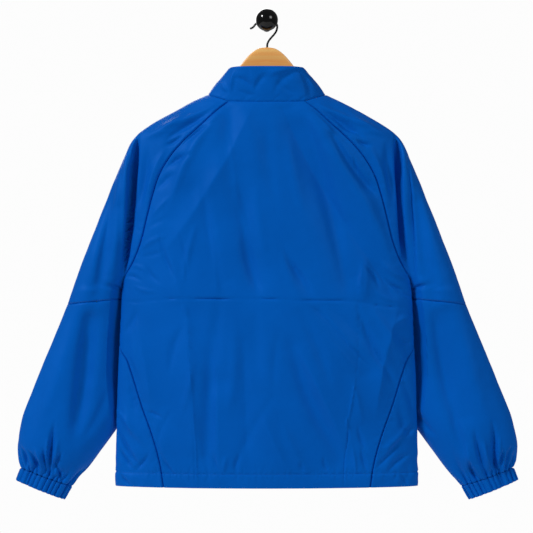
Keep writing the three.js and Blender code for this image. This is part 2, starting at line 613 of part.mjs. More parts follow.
// Slider: a waisted plate on the chain, with the bridge that holds the pull, drawn from the side and cut as one
function slider() {
  const [h, t] = [SLIDER.half, SLIDER.tall / 2];
  const outline = [
    [-h * 0.7, -t], [h * 0.7, -t], [h * 0.75, 0], [h, t * 0.6], [h * 0.8, t], [-h * 0.8, t], [-h, t * 0.6], [-h * 0.75, 0],
  ];
  return plate(outline, zipFaceY + SLIDER.gap, sliderFaceY).translate(0, 0, SLIDER.z);
}

function bridge() {
  const [outer, inner] = [SLIDER.archHalf, SLIDER.archHole];
  const inside = barY + PULL.bar + 0.5 - sliderFaceY;
  const top = inside + SLIDER.archThick;
  const foot = 0;
  const shape = new THREE.Shape([
    [-outer, foot], [-inner, foot], [-inner, inside], [inner, inside], [inner, foot], [outer, foot],
    [outer, top - 1], [outer - 1, top], [1 - outer, top], [-outer, top - 1],
  ].map(([z, y]) => new THREE.Vector2(z, y)));
  const geometry = new THREE.ExtrudeGeometry(shape, { depth: 2.2, bevelEnabled: false });
  const turn = new THREE.Matrix4().makeBasis(
    new THREE.Vector3(0, 0, 1), new THREE.Vector3(0, 1, 0), new THREE.Vector3(-1, 0, 0),
  );
  geometry.applyMatrix4(turn);
  return geometry.translate(1.1, sliderFaceY, SLIDER.z);
}

// Pull: a ring on the bridge and a long tab below it, which hangs straight down
function pull() {
  const { bar, ringHalf, windowHalf, window: gap, tabHalf, length } = PULL;
  const outline = [
    [-ringHalf, bar], [ringHalf, bar], [ringHalf, -gap - 2], [tabHalf, -gap - 4], [tabHalf, -length + 2],
    [tabHalf - 1.6, -length], [1.6 - tabHalf, -length], [-tabHalf, -length + 2], [-tabHalf, -gap - 4], [-ringHalf, -gap - 2],
  ];
  const hole = [[-windowHalf, -bar], [-windowHalf, -bar - gap], [windowHalf, -bar - gap], [windowHalf, -bar]];
  return plate(outline, barY - PULL.half, barY + PULL.half, [hole]);
}

// Hanger: a flat wooden yoke with eased edges
function hangerWood() {
  const top = WOOD_TOP.map(({ x, z }) => new THREE.Vector2(x, z));
  const bottom = WOOD_BOTTOM.map(({ x, z }) => new THREE.Vector2(x, z));
  const right = [...top, ...bottom];
  const left = right.slice(1, -1).reverse().map((p) => new THREE.Vector2(-p.x, p.y));
  const shape = new THREE.Shape([...right, ...left].reverse());
  const geometry = new THREE.ExtrudeGeometry(shape, {
    depth: 2 * (WOOD_HALF - WOOD_CORNER),
    bevelThickness: WOOD_CORNER,
    bevelSize: WOOD_CORNER,
    bevelOffset: -WOOD_CORNER,
    bevelSegments: 2,
  });
  geometry.rotateX(Math.PI / 2);
  return geometry.translate(0, HANGER_Y + WOOD_HALF - WOOD_CORNER, 0);
}

// Hook: from the wood in a slow bend to the right, round over the peg and out to a free end
function hookPath() {
  const { arcX, arcZ, arcHalf, arcRise } = WIRE;
  const start = [[0.7, -46.1], [1, -40.7], [3.6, -34.6], [8.6, -28.3], [13.8, -22.4], [17.4, -16.4]];
  const arc = steps(8).map((k) => {
    const turn = mix(0.02, 0.83, k) * Math.PI;
    return [arcX + arcHalf * Math.cos(turn), arcZ + arcRise * Math.sin(turn)];
  });
  const end = [[-20.9, -5.6], [-23.9, -9.4], [-27.2, -11.8], [-30.6, -12.8]];
  return [...start, ...arc, ...end].map(([x, z]) => new THREE.Vector3(x, HANGER_Y, z));
}

function hook() {
  const section = new THREE.Shape(
    steps(WIRE.sides).slice(1).map((k) => {
      const turn = k * 2 * Math.PI;
      return new THREE.Vector2(WIRE.radius * Math.cos(turn), WIRE.radius * Math.sin(turn));
    }),
  );
  const path = new THREE.CatmullRomCurve3(hookPath());
  return new THREE.ExtrudeGeometry(section, { steps: 34, extrudePath: path, bevelEnabled: false });
}

// Peg: wall plate, rod and ball, turned as one about the Y axis
function peg() {
  const { plateRadius, plateThick, rodRadius, ballRadius, ballY } = PEG;
  const neck = Math.asin(rodRadius / ballRadius);
  const ball = steps(9).map((k) => {
    const turn = mix(neck, Math.PI, k);
    return new THREE.Vector2(k === 1 ? 0 : ballRadius * Math.sin(turn), -ballY - ballRadius * Math.cos(turn));
  });
  const profile = [
    new THREE.Vector2(0, 0), new THREE.Vector2(plateRadius, 0), new THREE.Vector2(plateRadius, plateThick - 1.5),
    new THREE.Vector2(plateRadius - 1.5, plateThick), new THREE.Vector2(rodRadius, plateThick), ...ball,
  ];
  const geometry = new THREE.LatheGeometry(profile, 20);
  return geometry.rotateX(Math.PI);
}

// Finishes
const finish = (color, roughness, metalness = 0) => new THREE.MeshStandardMaterial({ color, roughness, metalness });
const cloth = finish(0x0b57b8, 0.62);
const tape = finish(0x0a4a9e, 0.7);
const wood = finish(0xdd9a50, 0.45);
const blackMetal = finish(0x141414, 0.35, 0.6);
const blackGloss = finish(0x0c0c0c, 0.12);
const zipMetal = finish(0x0b4ea6, 0.4);

function piece(name, geometry, material) {
  const mesh = new THREE.Mesh(geometry, material);
  mesh.name = name;
  return mesh;
}

const jacket = new THREE.Group();
const pairs = { front: frontPanel, sleeve_upper: upperSleeve, sleeve_lower: lowerSleeve, cuff };
for (const [name, made] of Object.entries(pairs)) {
  jacket.add(piece(`${name}_right`, made(1), cloth));
  jacket.add(piece(`${name}_left`, mirrored(made(-1)), cloth));
}
jacket.add(piece("back", backPanel(), cloth));
jacket.add(piece("collar", collar(), cloth));
jacket.add(piece("zip_tape", zip(), tape));
jacket.add(piece("zip_slider", slider(), zipMetal));
jacket.add(piece("zip_bridge", bridge(), zipMetal));

// The pull turns on its bar, which is the origin of its own mesh
const pullMesh = piece("zip_pull", pull(), zipMetal);
pullMesh.position.set(0, 0, SLIDER.z);
jacket.add(pullMesh);

const hanger = new THREE.Group();
hanger.add(piece("hanger_wood", hangerWood(), wood));
hanger.add(piece("hanger_hook", hook(), blackMetal));
jacket.add(hanger);
jacket.add(piece("wall_peg", peg(), blackGloss));

export default jacket;
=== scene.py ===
"""A blue windbreaker on a wooden hanger, which hangs by its wire hook from a ball-ended wall peg."""
import math

import bpy
import numpy as np
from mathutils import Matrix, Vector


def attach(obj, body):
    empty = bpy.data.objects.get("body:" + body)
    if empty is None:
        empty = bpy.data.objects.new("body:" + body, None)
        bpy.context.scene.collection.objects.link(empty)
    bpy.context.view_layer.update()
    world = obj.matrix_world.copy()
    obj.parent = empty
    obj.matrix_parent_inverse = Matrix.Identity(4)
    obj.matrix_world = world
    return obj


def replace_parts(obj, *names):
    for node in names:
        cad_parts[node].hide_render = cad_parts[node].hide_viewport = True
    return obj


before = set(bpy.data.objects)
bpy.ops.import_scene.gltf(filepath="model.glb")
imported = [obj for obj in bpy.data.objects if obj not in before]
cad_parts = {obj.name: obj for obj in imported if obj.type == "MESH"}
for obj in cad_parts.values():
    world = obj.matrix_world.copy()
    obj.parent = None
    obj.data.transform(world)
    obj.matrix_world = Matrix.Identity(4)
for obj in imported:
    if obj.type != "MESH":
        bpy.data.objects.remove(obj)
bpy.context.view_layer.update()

# The studio: a near-white room, a pale floor below the jacket, one large soft light high on the left,
# a weaker one on the right, and a long lens that looks straight at the back of the jacket.
MM = 0.001
HANGER_Y = -80.0  # the plane of the hanger, in millimetres, as all sizes in this file
CAMERA_DISTANCE = 3500.0
VIEW_WIDTH = 959.4  # what the photograph's width takes in at the hanger
VIEW_CENTRE = (-0.5, -440.9)
FLOOR_Z = -1300.0


def solid_material(name, color, roughness, **sockets):
    """A Principled material; each further socket is set on the shader itself."""
    material = bpy.data.materials.new(name)
    material.use_nodes = True
    shader = material.node_tree.nodes["Principled BSDF"]
    shader.inputs["Base Color"].default_value = (*color, 1)
    shader.inputs["Roughness"].default_value = roughness
    for socket, value in sockets.items():
        shader.inputs[socket.replace("_", " ")].default_value = value
    return material


def add_object(name, data):
    made = bpy.data.objects.new(name, data)
    bpy.context.scene.collection.objects.link(made)
    return made


def soft_light(name, place, aim, size, watts):
    """A square area light at one point that faces another."""
    data = bpy.data.lights.new(name, "AREA")
    data.size = size * MM
    data.energy = watts
    lamp = add_object(name, data)
    lamp.location = [v * MM for v in place]
    direction = Vector([b - a for a, b in zip(place, aim)])
    lamp.rotation_euler = direction.to_track_quat("-Z", "Y").to_euler()


lens = bpy.data.cameras.new("camera")
lens.lens = lens.sensor_width * CAMERA_DISTANCE / VIEW_WIDTH
lens.clip_end = 50
camera = add_object("camera", lens)
camera.location = (VIEW_CENTRE[0] * MM, (HANGER_Y - CAMERA_DISTANCE) * MM, VIEW_CENTRE[1] * MM)
camera.rotation_euler = (math.pi / 2, 0, 0)
bpy.context.scene.camera = camera
bpy.context.scene.view_settings.view_transform = "Standard"

soft_light("key_light", (-3900, -2700, 2900), (0, -80, -450), 1000, 205)
soft_light("fill_light", (3300, -3600, 1800), (0, -80, -450), 2000, 80)
soft_light("far_light", (-600, 2300, 900), (0, -80, -450), 1800, 34)

room = bpy.data.worlds.new("room")
bpy.context.scene.world = room
room.use_nodes = True
nodes, links = room.node_tree.nodes, room.node_tree.links
seen = nodes["Background"]
seen.inputs["Color"].default_value = (0.98, 0.98, 0.98, 1)
seen.inputs["Strength"].default_value = 1.0
lit = nodes.new("ShaderNodeBackground")
lit.inputs["Color"].default_value = (0.95, 0.97, 1, 1)
lit.inputs["Strength"].default_value = 0.13
path = nodes.new("ShaderNodeLightPath")
pick = nodes.new("ShaderNodeMixShader")
links.new(path.outputs["Is Camera Ray"], pick.inputs["Fac"])
links.new(lit.outputs["Background"], pick.inputs[1])
links.new(seen.outputs["Background"], pick.inputs[2])
links.new(pick.outputs["Shader"], nodes["World Output"].inputs["Surface"])

floor_mesh = bpy.data.meshes.new("floor")
reach = 2400 * MM
floor_mesh.from_pydata(
    [(x * reach, y * reach, FLOOR_Z * MM) for x, y in ((-1, -1), (1, -1), (1, 1), (-1, 1))], [], [(0, 1, 2, 3)]
)
floor_mesh.materials.append(solid_material("pale_floor", (0.86, 0.86, 0.85), 0.7))
add_object("floor", floor_mesh)

# The wall peg: a ball on a short rod, with a small round plate at the wall, all of steel under black gloss
# enamel. It is one turned form about the rod's line, which runs straight out from the wall.
JACKET_BODY = "jacket_on_hanger"
PEG = {"plate": 9.0, "plate_thick": 4.0, "edge": 1.0, "rod": 4.2, "ball": 20.0, "ball_y": -104.0}


def grid_faces(rows, columns, closed=False, first=0):
    """The quads of a grid of points that lie row after row; a closed grid joins its last column to its first."""
    row = np.arange(rows - 1)[:, None] * columns
    column = np.arange(columns if closed else columns - 1)[None, :]
    after = (column + 1) % columns
    corners = [row + column, row + columns + column, row + columns + after, row + after]
    return np.stack([c.ravel() for c in corners], axis=1) + first


def mesh_piece(name, points, faces, material, body=JACKET_BODY, sharp=50):
    """A mesh from points in millimetres and faces, smooth but for edges sharper than the angle, on a body."""
    mesh = bpy.data.meshes.new(name)
    mesh.from_pydata((np.asarray(points) * MM).tolist(), [], [list(map(int, f)) for f in faces])
    mesh.shade_smooth()
    mesh.set_sharp_from_angle(angle=math.radians(sharp))
    mesh.materials.append(material)
    made = add_object(name, mesh)
    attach(made, body)
    return made


def turned(radius, along, sides):
    """A ring of points round the rod's line for each radius and place along it; the ends lie on the line."""
    turn = np.linspace(0, 2 * np.pi, sides, endpoint=False)
    x = radius[:, None] * np.cos(turn)
    z = radius[:, None] * np.sin(turn)
    return np.stack([x, np.broadcast_to(along[:, None], x.shape), z], axis=2).reshape(-1, 3)


def welded(piece):
    """The same mesh with the points of its poles made one and its faces turned out."""
    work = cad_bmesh.new()
    work.from_mesh(piece.data)
    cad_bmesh.ops.remove_doubles(work, verts=work.verts, dist=1e-6)
    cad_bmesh.ops.recalc_face_normals(work, faces=work.faces)
    work.to_mesh(piece.data)
    work.free()
    return piece


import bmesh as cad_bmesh

neck = math.asin(PEG["rod"] / PEG["ball"])
ball_turn = np.linspace(neck, np.pi, 40)
corner = np.linspace(0, np.pi / 2, 6)
peg_radius = np.concatenate([
    [0, PEG["plate"] - 0.4, PEG["plate"]],
    PEG["plate"] - PEG["edge"] + PEG["edge"] * np.cos(corner),
    [PEG["rod"] + 1.2, PEG["rod"] + 0.3, PEG["rod"]],
    PEG["ball"] * np.sin(ball_turn),
])
peg_along = np.concatenate([
    [0, 0, 0.4],
    PEG["plate_thick"] - PEG["edge"] + PEG["edge"] * np.sin(corner),
    [PEG["plate_thick"], PEG["plate_thick"] + 0.3, PEG["plate_thick"] + 1.2],
    -PEG["ball_y"] - PEG["ball"] * np.cos(ball_turn),
])
PEG_SIDES = 64
enamel = solid_material("black_enamel", (0.003, 0.003, 0.003), 0.14, Specular_IOR_Level=0.3, Coat_Weight=0.2)
tree = enamel.node_tree
wave = tree.nodes.new("ShaderNodeTexNoise")
wave.inputs["Scale"].default_value = 60
bump = tree.nodes.new("ShaderNodeBump")
bump.inputs["Strength"].default_value = 0.06
bump.inputs["Distance"].default_value = 0.0005
place = tree.nodes.new("ShaderNodeTexCoord")
tree.links.new(place.outputs["Object"], wave.inputs["Vector"])
tree.links.new(wave.outputs["Fac"], bump.inputs["Height"])
tree.links.new(bump.outputs["Normal"], tree.nodes["Principled BSDF"].inputs["Normal"])
peg = mesh_piece(
    "wall_peg_enamel",
    turned(peg_radius, -peg_along, PEG_SIDES),
    grid_faces(len(peg_radius), PEG_SIDES, closed=True),
    enamel,
)
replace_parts(welded(peg), "wall_peg")

# The hook: one length of steel wire under black lacquer. It leaves the top of the wood, bends out to the right,
# goes round over the peg's rod behind the ball and ends in a rounded tip on the left.
WIRE_RADIUS = 1.85
HOOK_ARC = {"x": -0.7, "z": -10.3, "half": 19.6, "rise": 16.6, "from": 0.02, "to": 0.83}
HOOK_STEM = [(0.7, -50), (0.7, -46.1), (1, -40.7), (3.6, -34.6), (8.6, -28.3), (13.8, -22.4), (17.4, -16.4)]
HOOK_END = [(-20.9, -5.6), (-23.9, -9.4), (-27.2, -11.8), (-30.6, -12.8)]


def smooth_line(points, count):
    """A line through all the points: on each stretch the cubic whose slopes are those of its neighbours' chords."""
    points = np.asarray(points, float)
    ends = np.vstack([2 * points[0] - points[1], points, 2 * points[-1] - points[-2]])
    t = np.linspace(0, len(points) - 1, count)
    i = np.minimum(t.astype(int), len(points) - 2)
    s = (t - i)[:, None]
    a, b, c, d = (ends[i + k] for k in range(4))
    return 0.5 * (2 * b + (c - a) * s + (2 * a - 5 * b + 4 * c - d) * s**2 + (3 * b - a - 3 * c + d) * s**3)


def tube(line, radius, sides):
    """A ring at each point of a line, square to it; a flat line in the plane of the hanger needs no twist."""
    forward = np.gradient(line, axis=0)
    forward /= np.linalg.norm(forward, axis=1)[:, None]
    out = np.array([0.0, 1.0, 0.0])
    side = np.cross(forward, out)
    turn = np.linspace(0, 2 * np.pi, sides, endpoint=False)[None, :, None]
    ring = side[:, None] * np.cos(turn) + out * np.sin(turn)
    return (line[:, None] + ring * radius[:, None, None]).reshape(-1, 3)


arc_turn = np.linspace(HOOK_ARC["from"], HOOK_ARC["to"], 9) * np.pi
arc = np.stack([
    HOOK_ARC["x"] + HOOK_ARC["half"] * np.cos(arc_turn),
    HOOK_ARC["z"] + HOOK_ARC["rise"] * np.sin(arc_turn),
], axis=1)
flat_line = smooth_line(np.vstack([HOOK_STEM, arc, HOOK_END]), 180)
hook_line = np.stack([flat_line[:, 0], np.full(180, HANGER_Y), flat_line[:, 1]], axis=1)
to_tip = np.linalg.norm(hook_line - hook_line[-1], axis=1)
near_tip = np.clip(1 - to_tip / WIRE_RADIUS, 0, 1)
wire_radius = WIRE_RADIUS * np.sqrt(1 - near_tip**2)
lacquer = solid_material("black_lacquer", (0.008, 0.008, 0.008), 0.32, Metallic=0.3)
hook = mesh_piece(
    "hook_wire", tube(hook_line, wire_radius, 16), grid_faces(180, 16, closed=True), lacquer
)
welded(hook)
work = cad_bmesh.new()
work.from_mesh(hook.data)
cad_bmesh.ops.holes_fill(work, edges=[e for e in work.edges if e.is_boundary], sides=0)
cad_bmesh.ops.recalc_face_normals(work, faces=work.faces)
work.to_mesh(hook.data)
work.free()
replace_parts(hook, "hanger_hook")

# The hanger: a flat yoke of pale hardwood, sawn from two boards that meet at the middle, so that their grain
# runs down both shoulders. Its edges are rounded and it has a clear satin lacquer.
WOOD = {"half_thick": 6.0, "flatness": 0.36}
WOOD_TOP = [
    (0, -46.5), (12.4, -48), (22.7, -53.1), (31, -59.9), (38.2, -67.6), (47.5, -79.3), (66, -104),
    (84, -125), (104, -139), (144, -153.5), (178.5, -172.5), (204, -187.5), (224, -201), (230, -208),
]
WOOD_BOTTOM = [(0, -113), (25, -119), (60, -139), (110, -169), (178, -203), (222, -223), (230, -216)]


def rising(table, x):
    """A line through a table's points that never passes above or below two neighbours."""
    t, v = np.array(table, float).T
    span, step = np.diff(t), np.diff(v) / np.diff(t)
    w1, w2 = 2 * span[1:] + span[:-1], span[1:] + 2 * span[:-1]
    turns = step[:-1] * step[1:] <= 0
    before, after = np.where(turns, 1, step[:-1]), np.where(turns, 1, step[1:])
    inner = np.where(turns, 0, (w1 + w2) / (w1 / before + w2 / after))
    slope = np.concatenate([step[:1], inner, step[-1:]])
    x = np.clip(x, t[0], t[-1])
    i = np.clip(np.searchsorted(t, x, side="right") - 1, 0, len(t) - 2)
    s, h = (x - t[i]) / span[i], span[i]
    rise = (2 * s**3 - 3 * s**2 + 1) * v[i] + (s**3 - 2 * s**2 + s) * h * slope[i]
    return rise + (3 * s**2 - 2 * s**3) * v[i + 1] + (s**3 - s**2) * h * slope[i + 1]


wood_x = np.concatenate([np.linspace(-230, -226, 6)[:-1], np.linspace(-226, 226, 150), np.linspace(226, 230, 6)[1:]])
top, bottom = rising(WOOD_TOP, np.abs(wood_x)), rising(WOOD_BOTTOM, np.abs(wood_x))
end = np.sqrt(np.clip(1 - np.clip((np.abs(wood_x) - 226) / 4, 0, 1) ** 2, 0, 1))
middle, half = (top + bottom) / 2, np.abs(top - bottom) / 2 * (0.5 + 0.5 * end)
round_turn = np.linspace(0, 2 * np.pi, 48, endpoint=False)
across = np.sign(np.cos(round_turn)) * np.abs(np.cos(round_turn)) ** WOOD["flatness"]
up = np.sign(np.sin(round_turn)) * np.abs(np.sin(round_turn)) ** WOOD["flatness"]
wood_points = np.stack([
    np.broadcast_to(wood_x[:, None], (len(wood_x), 48)),
    HANGER_Y + WOOD["half_thick"] * end[:, None] * across,
    middle[:, None] + half[:, None] * up,
], axis=2).reshape(-1, 3)
hardwood = solid_material("lacquered_hardwood", (0.75, 0.36, 0.11), 0.38, Coat_Weight=0.25, Coat_Roughness=0.2)
tree = hardwood.node_tree
place = tree.nodes.new("ShaderNodeTexCoord")
split = tree.nodes.new("ShaderNodeSeparateXYZ")
mirror = tree.nodes.new("ShaderNodeMath")
mirror.operation = "ABSOLUTE"
join = tree.nodes.new("ShaderNodeCombineXYZ")
slant = tree.nodes.new("ShaderNodeMapping")
slant.inputs["Rotation"].default_value = (0, math.radians(-34), 0)
slant.inputs["Scale"].default_value = (9, 60, 260)
grain = tree.nodes.new("ShaderNodeTexNoise")
grain.inputs["Scale"].default_value = 1
grain.inputs["Detail"].default_value = 6
grain.inputs["Distortion"].default_value = 0.6
tones = tree.nodes.new("ShaderNodeValToRGB")
tones.color_ramp.elements[0].position = 0.3
tones.color_ramp.elements[0].color = (1.0, 0.38, 0.085, 1)
tones.color_ramp.elements[1].position = 0.72
tones.color_ramp.elements[1].color = (1.0, 0.62, 0.2, 1)
bump = tree.nodes.new("ShaderNodeBump")
bump.inputs["Strength"].default_value = 0.15
bump.inputs["Distance"].default_value = 0.0003
tree.links.new(place.outputs["Object"], split.inputs["Vector"])
tree.links.new(split.outputs["X"], mirror.inputs[0])
tree.links.new(mirror.outputs["Value"], join.inputs["X"])
tree.links.new(split.outputs["Y"], join.inputs["Y"])
tree.links.new(split.outputs["Z"], join.inputs["Z"])
tree.links.new(join.outputs["Vector"], slant.inputs["Vector"])
tree.links.new(slant.outputs["Vector"], grain.inputs["Vector"])
tree.links.new(grain.outputs["Fac"], tones.inputs["Fac"])
tree.links.new(tones.outputs["Color"], tree.nodes["Principled BSDF"].inputs["Base Color"])
tree.links.new(grain.outputs["Fac"], bump.inputs["Height"])
tree.links.new(bump.outputs["Normal"], tree.nodes["Principled BSDF"].inputs["Normal"])
yoke = mesh_piece(
    "hanger_yoke", wood_points, grid_faces(len(wood_x), 48, closed=True), hardwood, sharp=40
)
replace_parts(welded(yoke), "hanger_wood")

# The cloth: thin crinkled nylon in one royal blue, all pieces cut from it. The body is a flat tube round the
# hanger and each sleeve a narrower one beside it; where they meet the deeper of the two shows.
BODY = [  # height, half width, depth of the back, depth of the front, how far the side edges stand forward
    (-127, 97, 32, 32, 0), (-131.8, 106, 34, 34, 0), (-150, 144, 40, 38, 0), (-169, 178.5, 43, 41, 0),
    (-183.5, 204, 45, 42, 0), (-194, 220, 46, 43, 0), (-202, 231, 46.5, 43.5, 0), (-214, 238, 47, 44, -0.5),
    (-247, 243, 49, 46, -1), (-287, 246, 51, 47, -2), (-349, 249, 53, 48, -3.5), (-429, 255, 54, 49.5, -5),
    (-497, 261, 54, 50, -6), (-582, 265, 54, 50, -6), (-637, 267.5, 53, 49, -6), (-702, 269.5, 52, 48, -5),
    (-759, 271, 51, 47, -5), (-834.5, 271.6, 50, 46, -5),
]
SLEEVE_TOP = [  # height, outer edge, inner edge, half thickness, how far the inner edge leans forward
    (-127, 97, 85, 3, 0), (-169, 178.5, 166, 4, 0), (-202, 231, 218, 5, 0), (-214, 241.5, 229, 9, 0),
    (-227, 249, 234, 14, 0), (-253, 259.5, 236.5, 20, 0), (-287, 274.5, 238, 25, 1), (-349, 299, 240.5, 30, 3),
    (-411, 323.5, 243, 33, 6), (-457, 341, 245, 34.5, 11), (-487, 351, 247, 35, 14),
]
WALL = 1.5
EDGE = 0.75
SEAM = 0.03
MEETING = 3.0
CREASE_GAIN = 3.0
FACET_GAIN = 3.2
# Broad folds, from one point to another, with half width and depth; the last column is 0 on the back, 1 in front
BROAD_FOLDS = [
    (68, -162, 240, -437, 22, 5, 0), (118, -212, 176, -297, 14, -5, 0), (62, -197, 150, -457, 26, -5, 0),
    (-70, -167, -16, -467, 20, -3.5, 0), (-128, -307, -84, -467, 20, -3, 0), (-92, -182, -215, -387, 22, 4, 0),
    (-128, -527, -88, -647, 24, -4, 0), (-88, -647, -108, -777, 22, -4, 0), (48, -587, 132, -782, 24, -5, 0),
    (96, -517, 180, -627, 16, -3, 0), (0, -557, 6, -757, 40, 3, 0),
    (90, -237, 205, -427, 22, 4, 1), (-90, -237, -205, -427, 22, 4, 1), (60, -297, 110, -557, 24, -4, 1),
    (-64, -287, -100, -597, 26, -4, 1), (130, -577, 120, -787, 24, -4, 1), (-140, -597, -128, -777, 24, -4, 1),
]
SLEEVE_FOLDS = [
    (268, -327, 300, -497, 12, -4), (318, -527, 352, -707, 18, -5),
    (-268, -337, -304, -497, 12, -4), (-312, -537, -334, -717, 18, -5),
]


def column(table, number):
    """One column of a table as a smooth function of its first column."""
    pairs = sorted((row[0], row[number]) for row in table)
    return lambda at: rising(pairs, at)


body_half, body_back, body_front, body_side = (column(BODY, k) for k in (1, 2, 3, 4))
top_outer, top_inner, top_half, top_lean = (column(SLEEVE_TOP, k) for k in (1, 2, 3, 4))


def pillow(u):
    """Half the thickness of a flat tube as a share: between an ellipse and a parabola, and below 0 outside."""
    inside = 1 - u * u
    return EDGE * np.sign(inside) * np.sqrt(np.abs(inside)) + np.where(inside > 0, (1 - EDGE) * inside, 0)


def relief(folds, x, z):
    """The sum of rounded bands, each deepest on its line and falling off as a bell curve beside it."""
    total = np.zeros(np.broadcast(x, z).shape)
    for x1, z1, x2, z2, width, depth in (fold[:6] for fold in folds):
        dx, dz = x2 - x1, z2 - z1
        s = np.clip(((x - x1) * dx + (z - z1) * dz) / (dx * dx + dz * dz), 0, 1)
        away = np.hypot(x - x1 - s * dx, z - z1 - s * dz) / width
        total += depth * np.exp(-(away**2))
    return total


def fade(u):
    return np.clip((1 - np.abs(u)) * 4, 0, 1)


def body_height(x, z, way):
    """How far the body stands from the hanger's plane, behind (way -1) or in front (way 1)."""
    u = np.abs(x) / body_half(z)
    depth = np.where(way < 0, body_back(z), body_front(z))
    back, front = (relief([f for f in BROAD_FOLDS if f[6] == k], x, z) for k in (0, 1))
    return depth * pillow(u) + way * body_side(z) + np.where(way < 0, back, front) * fade(u)


def sleeve_top_height(x, z, way):
    outer, inner = top_outer(z), top_inner(z)
    t = (2 * np.abs(x) - outer - inner) / (outer - inner)
    lean = top_lean(z) * np.clip((outer - np.abs(x)) / (outer - inner), 0, 1.3)
    return top_half(z) * pillow(t) + way * lean + relief(SLEEVE_FOLDS, x, z) * fade(t)


def cloth_y(x, z, way):
    """The deeper of body and sleeve, with the valley between them rounded."""
    a, b = body_height(x, z, way), sleeve_top_height(x, z, way)
    return HANGER_Y + way * (a + b + np.hypot(a - b, MEETING)) / 2


def directions(points):
    """The outward unit direction at each point of a grid whose rows run down and whose columns run round."""
    down, along = np.gradient(points, axis=0, edge_order=2), np.gradient(points, axis=1, edge_order=2)
    out = np.cross(down, along)
    return out / np.maximum(np.linalg.norm(out, axis=2), 1e-9)[..., None]


def from_edges(points):
    """The distance of each point from the grid's first and last column and first and last row, along the grid."""
    round_ = np.linalg.norm(np.diff(points, axis=1), axis=2)
    down = np.linalg.norm(np.diff(points, axis=0), axis=2)
    left = np.pad(np.cumsum(round_, axis=1), ((0, 0), (1, 0)))
    above = np.pad(np.cumsum(down, axis=0), ((1, 0), (0, 0)))
    return left, left[:, -1:] - left, above, above[-1:] - above


def crease(x, z, x1, z1, x2, z2, bend, width, depth, point=0.0):
    """A fold along a bowed line that fades out at both ends: a bell curve across it, or sharper by point."""
    dx, dz = x2 - x1, z2 - z1
    length = math.hypot(dx, dz)
    s = ((x - x1) * dx + (z - z1) * dz) / length**2
    across = ((x - x1) * dz - (z - z1) * dx) / length - bend * 4 * s * (1 - s)
    ends = np.clip(1 - ((2 * s - 1) / 1.25) ** 2, 0, 1) ** 1.6
    away = np.abs(across) / (width * (0.6 + 0.4 * ends))
    shape = (1 - point) * np.exp(-(away**2)) + point * np.exp(-2.2 * away)
    return CREASE_GAIN * depth * ends * shape


def facet(x, z, x1, z1, x2, z2, bend, right, left, depth):
    """A fold with a crisp edge: from its line the cloth falls off over one width on the right, another on the left."""
    dx, dz = x2 - x1, z2 - z1
    length = math.hypot(dx, dz)
    s = ((x - x1) * dx + (z - z1) * dz) / length**2
    across = ((z - z1) * dx - (x - x1) * dz) / length - bend * 4 * s * (1 - s)
    ends = np.clip(1 - ((2 * s - 1) / 1.25) ** 2, 0, 1) ** 1.3
    away = (np.hypot(across, 1.0) - 1.0) / np.where(across > 0, right, left)
    return FACET_GAIN * depth * ends * np.exp(-away)


def crinkle(x, z, seed, size, count=24):
    """Small random unevenness: a sum of slanting waves, each about the given size long."""
    chance = np.random.default_rng(seed)
    turn = chance.uniform(0, np.pi, count)
    length = size * chance.uniform(0.6, 1.8, count)
    start = chance.uniform(0, 2 * np.pi, count)
    total = np.zeros(np.broadcast(x, z).shape)
    for a, l, s in zip(turn, length, start):
        total += np.sin(2 * np.pi * (x * math.cos(a) + z * math.sin(a)) / l + s)
    return total / math.sqrt(count)


def seam_roll(distance, depth=2.6, width=1.5):
    """How cloth turns down into a seam: deepest at its edge."""
    return -1.4 * depth * np.exp(-((distance / width) ** 2))


def cloth_shell(name, outer, lift, material=None, wall=WALL, closed=False):
    """A wall of cloth. The outer grid is raised by lift along its directions, and the inner one has every second
    row and column of it, set back by the wall's thickness."""
    out = directions(outer)
    outer = outer + out * lift[..., None]
    thick = np.broadcast_to(wall, outer.shape[:2])[..., None]
    inner = (outer - out * thick)[::2, ::2]
    rows, columns = outer.shape[:2]
    faces = grid_faces(rows, columns)
    back = grid_faces(*inner.shape[:2], first=rows * columns)[:, ::-1]
    number = np.arange(rows * columns).reshape(rows, columns)
    inner_number = np.arange(inner.shape[0] * inner.shape[1]).reshape(inner.shape[:2]) + rows * columns
    rims = [
        (number[0, ::-1], inner_number[0, ::-1]), (number[-1], inner_number[-1]),
        (number[:, 0], inner_number[:, 0]), (number[::-1, -1], inner_number[::-1, -1]),
    ]
    rim = []
    for o, i in rims:
        a, b, p, q, r = i[:-1], i[1:], o[:-2:2], o[1:-1:2], o[2::2]
        for three in ((a, q, p), (a, b, q), (b, r, q)):
            rim.append(np.stack(three, axis=1))
    points = np.vstack([outer.reshape(-1, 3), inner.reshape(-1, 3)])
    every = [*faces.tolist(), *back.tolist(), *np.vstack(rim).tolist()]
    return mesh_piece(name, points, every, material or nylon), outer


